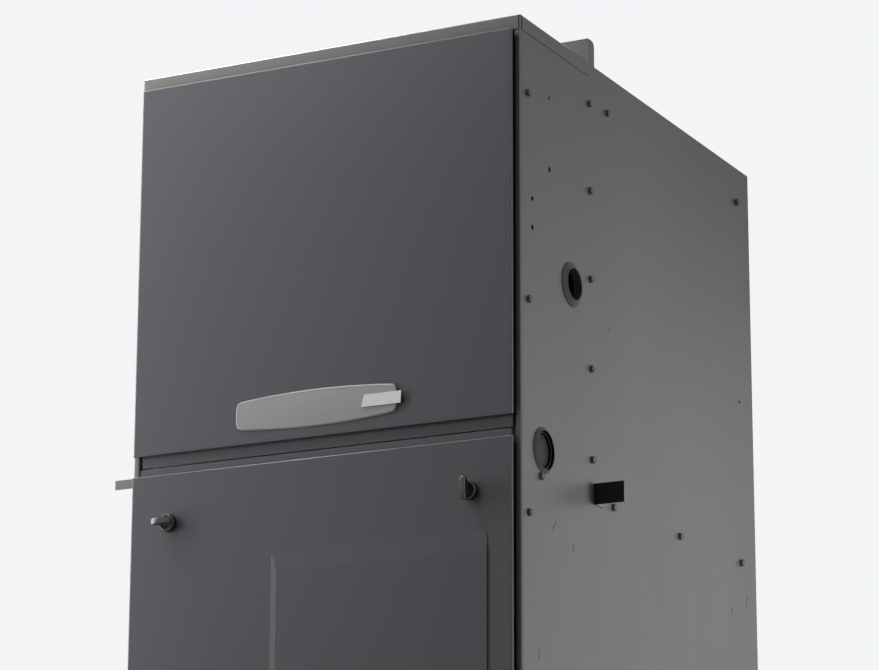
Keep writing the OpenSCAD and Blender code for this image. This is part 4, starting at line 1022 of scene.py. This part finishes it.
class FURNACE_OT_nameplate(bpy.types.Operator):
    """Bare boat-shaped nameplate with a soft edge and a domed face"""

    bl_idname = "furnace.nameplate"
    bl_label = "Make the nameplate"

    def execute(self, context):
        low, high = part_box("nameplate")
        centre_x, centre_z = (low[0] + high[0]) / 2, (low[2] + high[2]) / 2
        half_width, half_height = (high[0] - low[0]) / 2 - PLATE_POINT, (high[2] - low[2]) / 2
        bm = bmesh.new()
        loops = []
        for inset, share in PLATE_PROFILE:
            loop = []
            for x, z in boat_outline(half_width, half_height, inset):
                fall = PLATE_DOME - math.sqrt(PLATE_DOME * PLATE_DOME - z * z)
                y = high[1] - share * (high[1] - low[1] - fall)
                loop.append(bm.verts.new((centre_x + x, y, centre_z + z)))
            loops.append(loop)
        skin(bm, loops, ends=(True, False))
        bmesh.ops.triangulate(bm, faces=[bm.faces.new(loops[-1])])
        piece = new_piece("nameplate_face", bm, 50.0, "nameplate paint", "upper_door")
        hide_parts("nameplate")
        return {"FINISHED"}


# -------------------- control board

COVER = 0.0003  # how much each part is larger than the solid that it covers
FLOOR_GAP, BOARD_FACE, TRANSFORMER_REACH = 0.0005, 0.008, 0.040  # out from the box's floor
PLATE_MARGIN, PLATE_HEIGHTS = 0.008, (0.070, 0.192)
# Blocks: spans across from the box's left, up from its foot and out from its floor; bevel
RELAYS = [
    ((0.016 + 0.024 * i, 0.034 + 0.024 * i), (0.156, 0.180), (BOARD_FACE, 0.024), 0.0012)
    for i in range(4)]
TERMINALS = [
    ((0.014, 0.034), (0.080 + 0.024 * i, 0.098 + 0.024 * i), (BOARD_FACE, 0.020), 0.0012)
    for i in range(3)]
TRANSFORMER = ((0.060, 0.124), (0.008, 0.060), (FLOOR_GAP, TRANSFORMER_REACH), 0.003)
CONNECTORS = [
    ((0.084 + 0.005 * i, 0.0882 + 0.005 * i), (0.078, 0.086), (BOARD_FACE, 0.017), 0.0005)
    for i in range(7)]
PLUG_ROW = ((0.046, 0.078), (0.118, 0.127), (BOARD_FACE, 0.0165), 0.0008)
# Cans: across, up and radius
CANS = [(0.052, 0.086, 0.0055), (0.067, 0.086, 0.0055), (0.052, 0.104, 0.004)]


def add_block(bm, origin, across, upright, outwards, bevel, cover=0.0):
    """A block with softened edges, covering its solid on all sides but the back."""
    spans = (
        (origin.x + across[0] - cover, origin.x + across[1] + cover),
        (origin.y - outwards[1] - cover, origin.y - outwards[0]),
        (origin.z + upright[0] - cover, origin.z + upright[1] + cover),
    )
    made = bmesh.ops.create_cube(bm, size=1.0)["verts"]
    for vertex in made:
        vertex.co = [span[vertex.co[i] > 0] for i, span in enumerate(spans)]
    edges = {edge for vertex in made for edge in vertex.link_edges}
    bmesh.ops.bevel(bm, geom=list(edges), offset=bevel, segments=2, affect="EDGES")


class FURNACE_OT_control_board(bpy.types.Operator):
    """Circuit board with its relays, terminals, cans and connectors, on the control box"""

    bl_idname = "furnace.control_board"
    bl_label = "Make the control board"

    def execute(self, context):
        low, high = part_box("control_box")
        origin = Vector((low[0], low[1] + TRANSFORMER_REACH, low[2]))
        plate, parts, plugs = bmesh.new(), bmesh.new(), bmesh.new()
        add_block(plate, origin, (PLATE_MARGIN, high[0] - low[0] - PLATE_MARGIN), PLATE_HEIGHTS,
                  (FLOOR_GAP, BOARD_FACE), 0.0004, COVER)
        for block in (*RELAYS, *TERMINALS, TRANSFORMER):
            add_block(parts, origin, *block, COVER)
        for across, upright, radius in CANS:
            profile = [(radius, 0.0), (radius, 0.0115), (radius - 0.0008, 0.0122),
                       (radius - 0.0016, 0.0120)]
            place = origin + Vector((across, -BOARD_FACE, upright))
            revolve(parts, profile, place, "y", count=24, side=-1.0)
        for block in (*CONNECTORS, PLUG_ROW):
            add_block(plugs, origin, *block)
        for bm, name, finish_name, slot_name in (
            (plate, "control_board_plate", "circuit board", "dark_plastic"),
            (parts, "control_board_parts", "black plastic", "black_plastic"),
            (plugs, "control_board_plugs", "white plastic", "white_plastic"),
        ):
            new_piece(name, bm, 40.0, finish_name, "cabinet")
        return {"FINISHED"}


# -------------------- stage

LENS, SENSOR_WIDTH = 138.12, 36.0  # millimetres
YAW, PITCH, ROLL = 27.353, 14.975, 0.178  # degrees
EYE = (1.9379, -3.8002, -0.4061)
CLIP_NEAR, CLIP_FAR = 0.05, 60.0
FLOOR_HALF_WIDTH, FLOOR_Z = 7.0, -0.0006
# The floor as light meets it, the floor as the camera and reflections see it, the backdrop
FLOOR_LIT, FLOOR_SEEN = (0.25, 0.25, 0.25, 1.0), (0.30, 0.30, 0.30, 1.0)
BACKDROP = (0.90, 0.91, 0.92, 1.0)
FLOOR_LIGHT = 0.62
WORLD_LIGHT = 0.09
WHITE, IVORY, WARM = (1.0, 1.0, 1.0), (1.0, 1.0, 0.98), (1.0, 0.99, 0.98)
# Name, place, target, width and height, watts, colour, spread in degrees
LAMPS = [
    ("left strip", (-1.05, -0.84, 0.75), (-0.05, -0.36, 0.7), (0.3, 1.5), 17.5, WARM, 180),
    ("high left", (-0.62, -0.9, 1.8), (-0.05, -0.34, 1.0), (0.7, 0.3), 11.5, WHITE, 180),
    ("front fill", (-0.9, -3.2, 1.0), (-0.1, -0.36, 0.6), (1.6, 1.6), 5.0, WHITE, 180),
    ("side rake", (1.55, 3.35, 1.3), (0.27, -0.25, 1.35), (1.3, 0.9), 2.8, IVORY, 60),
    ("side top", (2.6, 0.1, 1.25), (0.27, -0.3, 1.1), (0.8, 0.5), 0.9, IVORY, 42),
    ("cap", (-1.3, -2.4, 2.6), (-0.15, -0.2, 1.5), (0.4, 0.4), 1.5, WHITE, 24),
    ("side fill", (2.6, 0.9, 0.35), (0.27, 0.0, -0.1), (1.0, 0.5), 5.8, IVORY, 52),
    ("top", (-1.4, 0.25, 2.75), (-0.15, -0.3, 1.0), (0.9, 1.0), 28.0, WHITE, 180),
    ("left edge", (-2.0, 0.5, 1.4), (-0.27, -0.38, 0.9), (0.5, 1.2), 14.0, WHITE, 180),
    ("back", (-1.0, 3.0, 1.4), (0.0, 0.36, 0.5), (1.6, 1.6), 30.0, WHITE, 180),
]


def camera_turn():
    """Rotation of the camera that took the photograph."""
    yaw, pitch, roll = (math.radians(a) for a in (YAW, PITCH, ROLL))
    forward = Vector((-math.sin(yaw) * math.cos(pitch), math.cos(yaw) * math.cos(pitch),
                      math.sin(pitch)))
    right = Vector((math.cos(yaw), math.sin(yaw), 0.0))
    up = right.cross(forward)
    across = math.cos(roll) * right + math.sin(roll) * up
    above = -math.sin(roll) * right + math.cos(roll) * up
    return Matrix((across, above, -forward)).transposed()


def add_camera(scene):
    """The photograph's camera."""
    data = bpy.data.cameras.new("photo camera")
    data.lens = LENS
    data.sensor_width = SENSOR_WIDTH
    data.sensor_fit = "HORIZONTAL"
    data.clip_start, data.clip_end = CLIP_NEAR, CLIP_FAR
    camera = bpy.data.objects.new("photo camera", data)
    camera.matrix_world = Matrix.Translation(EYE) @ camera_turn().to_4x4()
    scene.collection.objects.link(camera)
    scene.camera = camera


def add_lamp(name, place, target, size, power, colour, spread):
    """A rectangular area lamp that faces a point."""
    light = bpy.data.lights.new(name, "AREA")
    light.shape = "RECTANGLE"
    light.size, light.size_y = size
    light.energy = power
    light.color = colour
    light.spread = math.radians(spread)
    lamp = bpy.data.objects.new(name, light)
    lamp.location = place
    lamp.rotation_mode = "QUATERNION"
    lamp.rotation_quaternion = (Vector(target) - Vector(place)).to_track_quat("-Z", "Y")
    lamp.visible_camera = False
    bpy.context.scene.collection.objects.link(lamp)


def pick_shader(tree, choice, first, second, surface):
    """Sends one of two shaders to the output's surface: the second where the choice is 1."""
    pick = add_node(tree, "ShaderNodeMixShader", {0: choice, 1: first, 2: second})
    feed(tree, pick.outputs[0], surface)


def floor_material():
    """Pale matt floor that keeps the object's shadow and is clear from below."""
    material = bpy.data.materials.new("studio floor")
    material.use_nodes = True
    tree = material.node_tree
    shader = tree.nodes["Principled BSDF"]
    path = tree.nodes.new("ShaderNodeLightPath").outputs
    seen = maths(tree, "MAXIMUM", path["Is Camera Ray"], path["Is Glossy Ray"])
    fill(tree, shader, {
        "Base Color": blend_colours(tree, seen, FLOOR_LIT, FLOOR_SEEN),
        "Emission Color": BACKDROP,
        "Emission Strength": maths(tree, "MULTIPLY", seen, FLOOR_LIGHT),
        "Roughness": 0.9,
        "Specular IOR Level": 0.1,
    })
    below = tree.nodes.new("ShaderNodeNewGeometry").outputs["Backfacing"]
    clear = tree.nodes.new("ShaderNodeBsdfTransparent")
    pick_shader(tree, below, shader.outputs[0], clear.outputs[0],
                tree.nodes["Material Output"].inputs["Surface"])
    return material


def add_floor():
    """The studio floor, just under the furnace."""
    bm = bmesh.new()
    bmesh.ops.create_grid(bm, x_segments=8, y_segments=8, size=FLOOR_HALF_WIDTH)
    floor = add_object("floor", bm, floor_material())
    floor.location.z = FLOOR_Z


def studio_world():
    """Soft even light, with a pale backdrop for what the camera and reflections see."""
    world = bpy.data.worlds.new("studio")
    world.use_nodes = True
    tree = world.node_tree
    tree.nodes.clear()
    out = tree.nodes.new("ShaderNodeOutputWorld")
    light = add_node(tree, "ShaderNodeBackground",
                     {"Color": (1.0, 1.0, 1.0, 1.0), "Strength": WORLD_LIGHT})
    backdrop = add_node(tree, "ShaderNodeBackground", {"Color": BACKDROP, "Strength": 1.0})
    path = tree.nodes.new("ShaderNodeLightPath").outputs
    mirrored = maths(tree, "MAXIMUM", path["Is Glossy Ray"], path["Is Transmission Ray"])
    seen = maths(tree, "MAXIMUM", path["Is Camera Ray"], mirrored)
    pick_shader(tree, seen, light.outputs[0], backdrop.outputs[0], out.inputs["Surface"])
    return world


class FURNACE_OT_stage(bpy.types.Operator):
    """Camera, lamps, floor and world"""

    bl_idname = "furnace.stage"
    bl_label = "Set the stage"

    def execute(self, context):
        scene = context.scene
        add_camera(scene)
        add_floor()
        for lamp in LAMPS:
            add_lamp(*lamp)
        scene.world = studio_world()
        scene.view_settings.view_transform = "Standard"
        return {"FINISHED"}


# -------------------- panel and registration

STEPS = [
    FURNACE_OT_stage,
    FURNACE_OT_cabinet,
    FURNACE_OT_doors,
    FURNACE_OT_heat,
    FURNACE_OT_gas,
    FURNACE_OT_blower,
    FURNACE_OT_side_screws,
    FURNACE_OT_slot_lips,
    FURNACE_OT_side_plugs,
    FURNACE_OT_latches,
    FURNACE_OT_nameplate,
    FURNACE_OT_control_board,
]


class FURNACE_PT_panel(bpy.types.Panel):
    """Lists the furnace's settings and steps"""

    bl_idname = "FURNACE_PT_panel"
    bl_label = "Furnace"
    bl_space_type = "VIEW_3D"
    bl_region_type = "UI"
    bl_category = "Furnace"

    def draw(self, context):
        layout = self.layout
        for group in (context.scene.furnace_paint, context.scene.furnace_sizes):
            for name in group.bl_rna.properties.keys():
                if name not in {"rna_type", "name"}:
                    layout.prop(group, name)
        for step in STEPS:
            layout.operator(step.bl_idname)


CLASSES = [FurnacePaint, FurnaceSizes, *STEPS, FURNACE_PT_panel]


def register():
    for item in CLASSES:
        bpy.utils.register_class(item)
    bpy.types.Scene.furnace_paint = bpy.props.PointerProperty(type=FurnacePaint)
    bpy.types.Scene.furnace_sizes = bpy.props.PointerProperty(type=FurnaceSizes)


def unregister():
    del bpy.types.Scene.furnace_paint
    del bpy.types.Scene.furnace_sizes
    for item in reversed(CLASSES):
        bpy.utils.unregister_class(item)


def main():
    register()
    for step in STEPS:
        area, name = step.bl_idname.split(".")
        result = getattr(getattr(bpy.ops, area), name)()
        if "FINISHED" not in result:
            raise RuntimeError("a step did not finish: " + step.bl_idname)


if __name__ == "__main__":
    main()
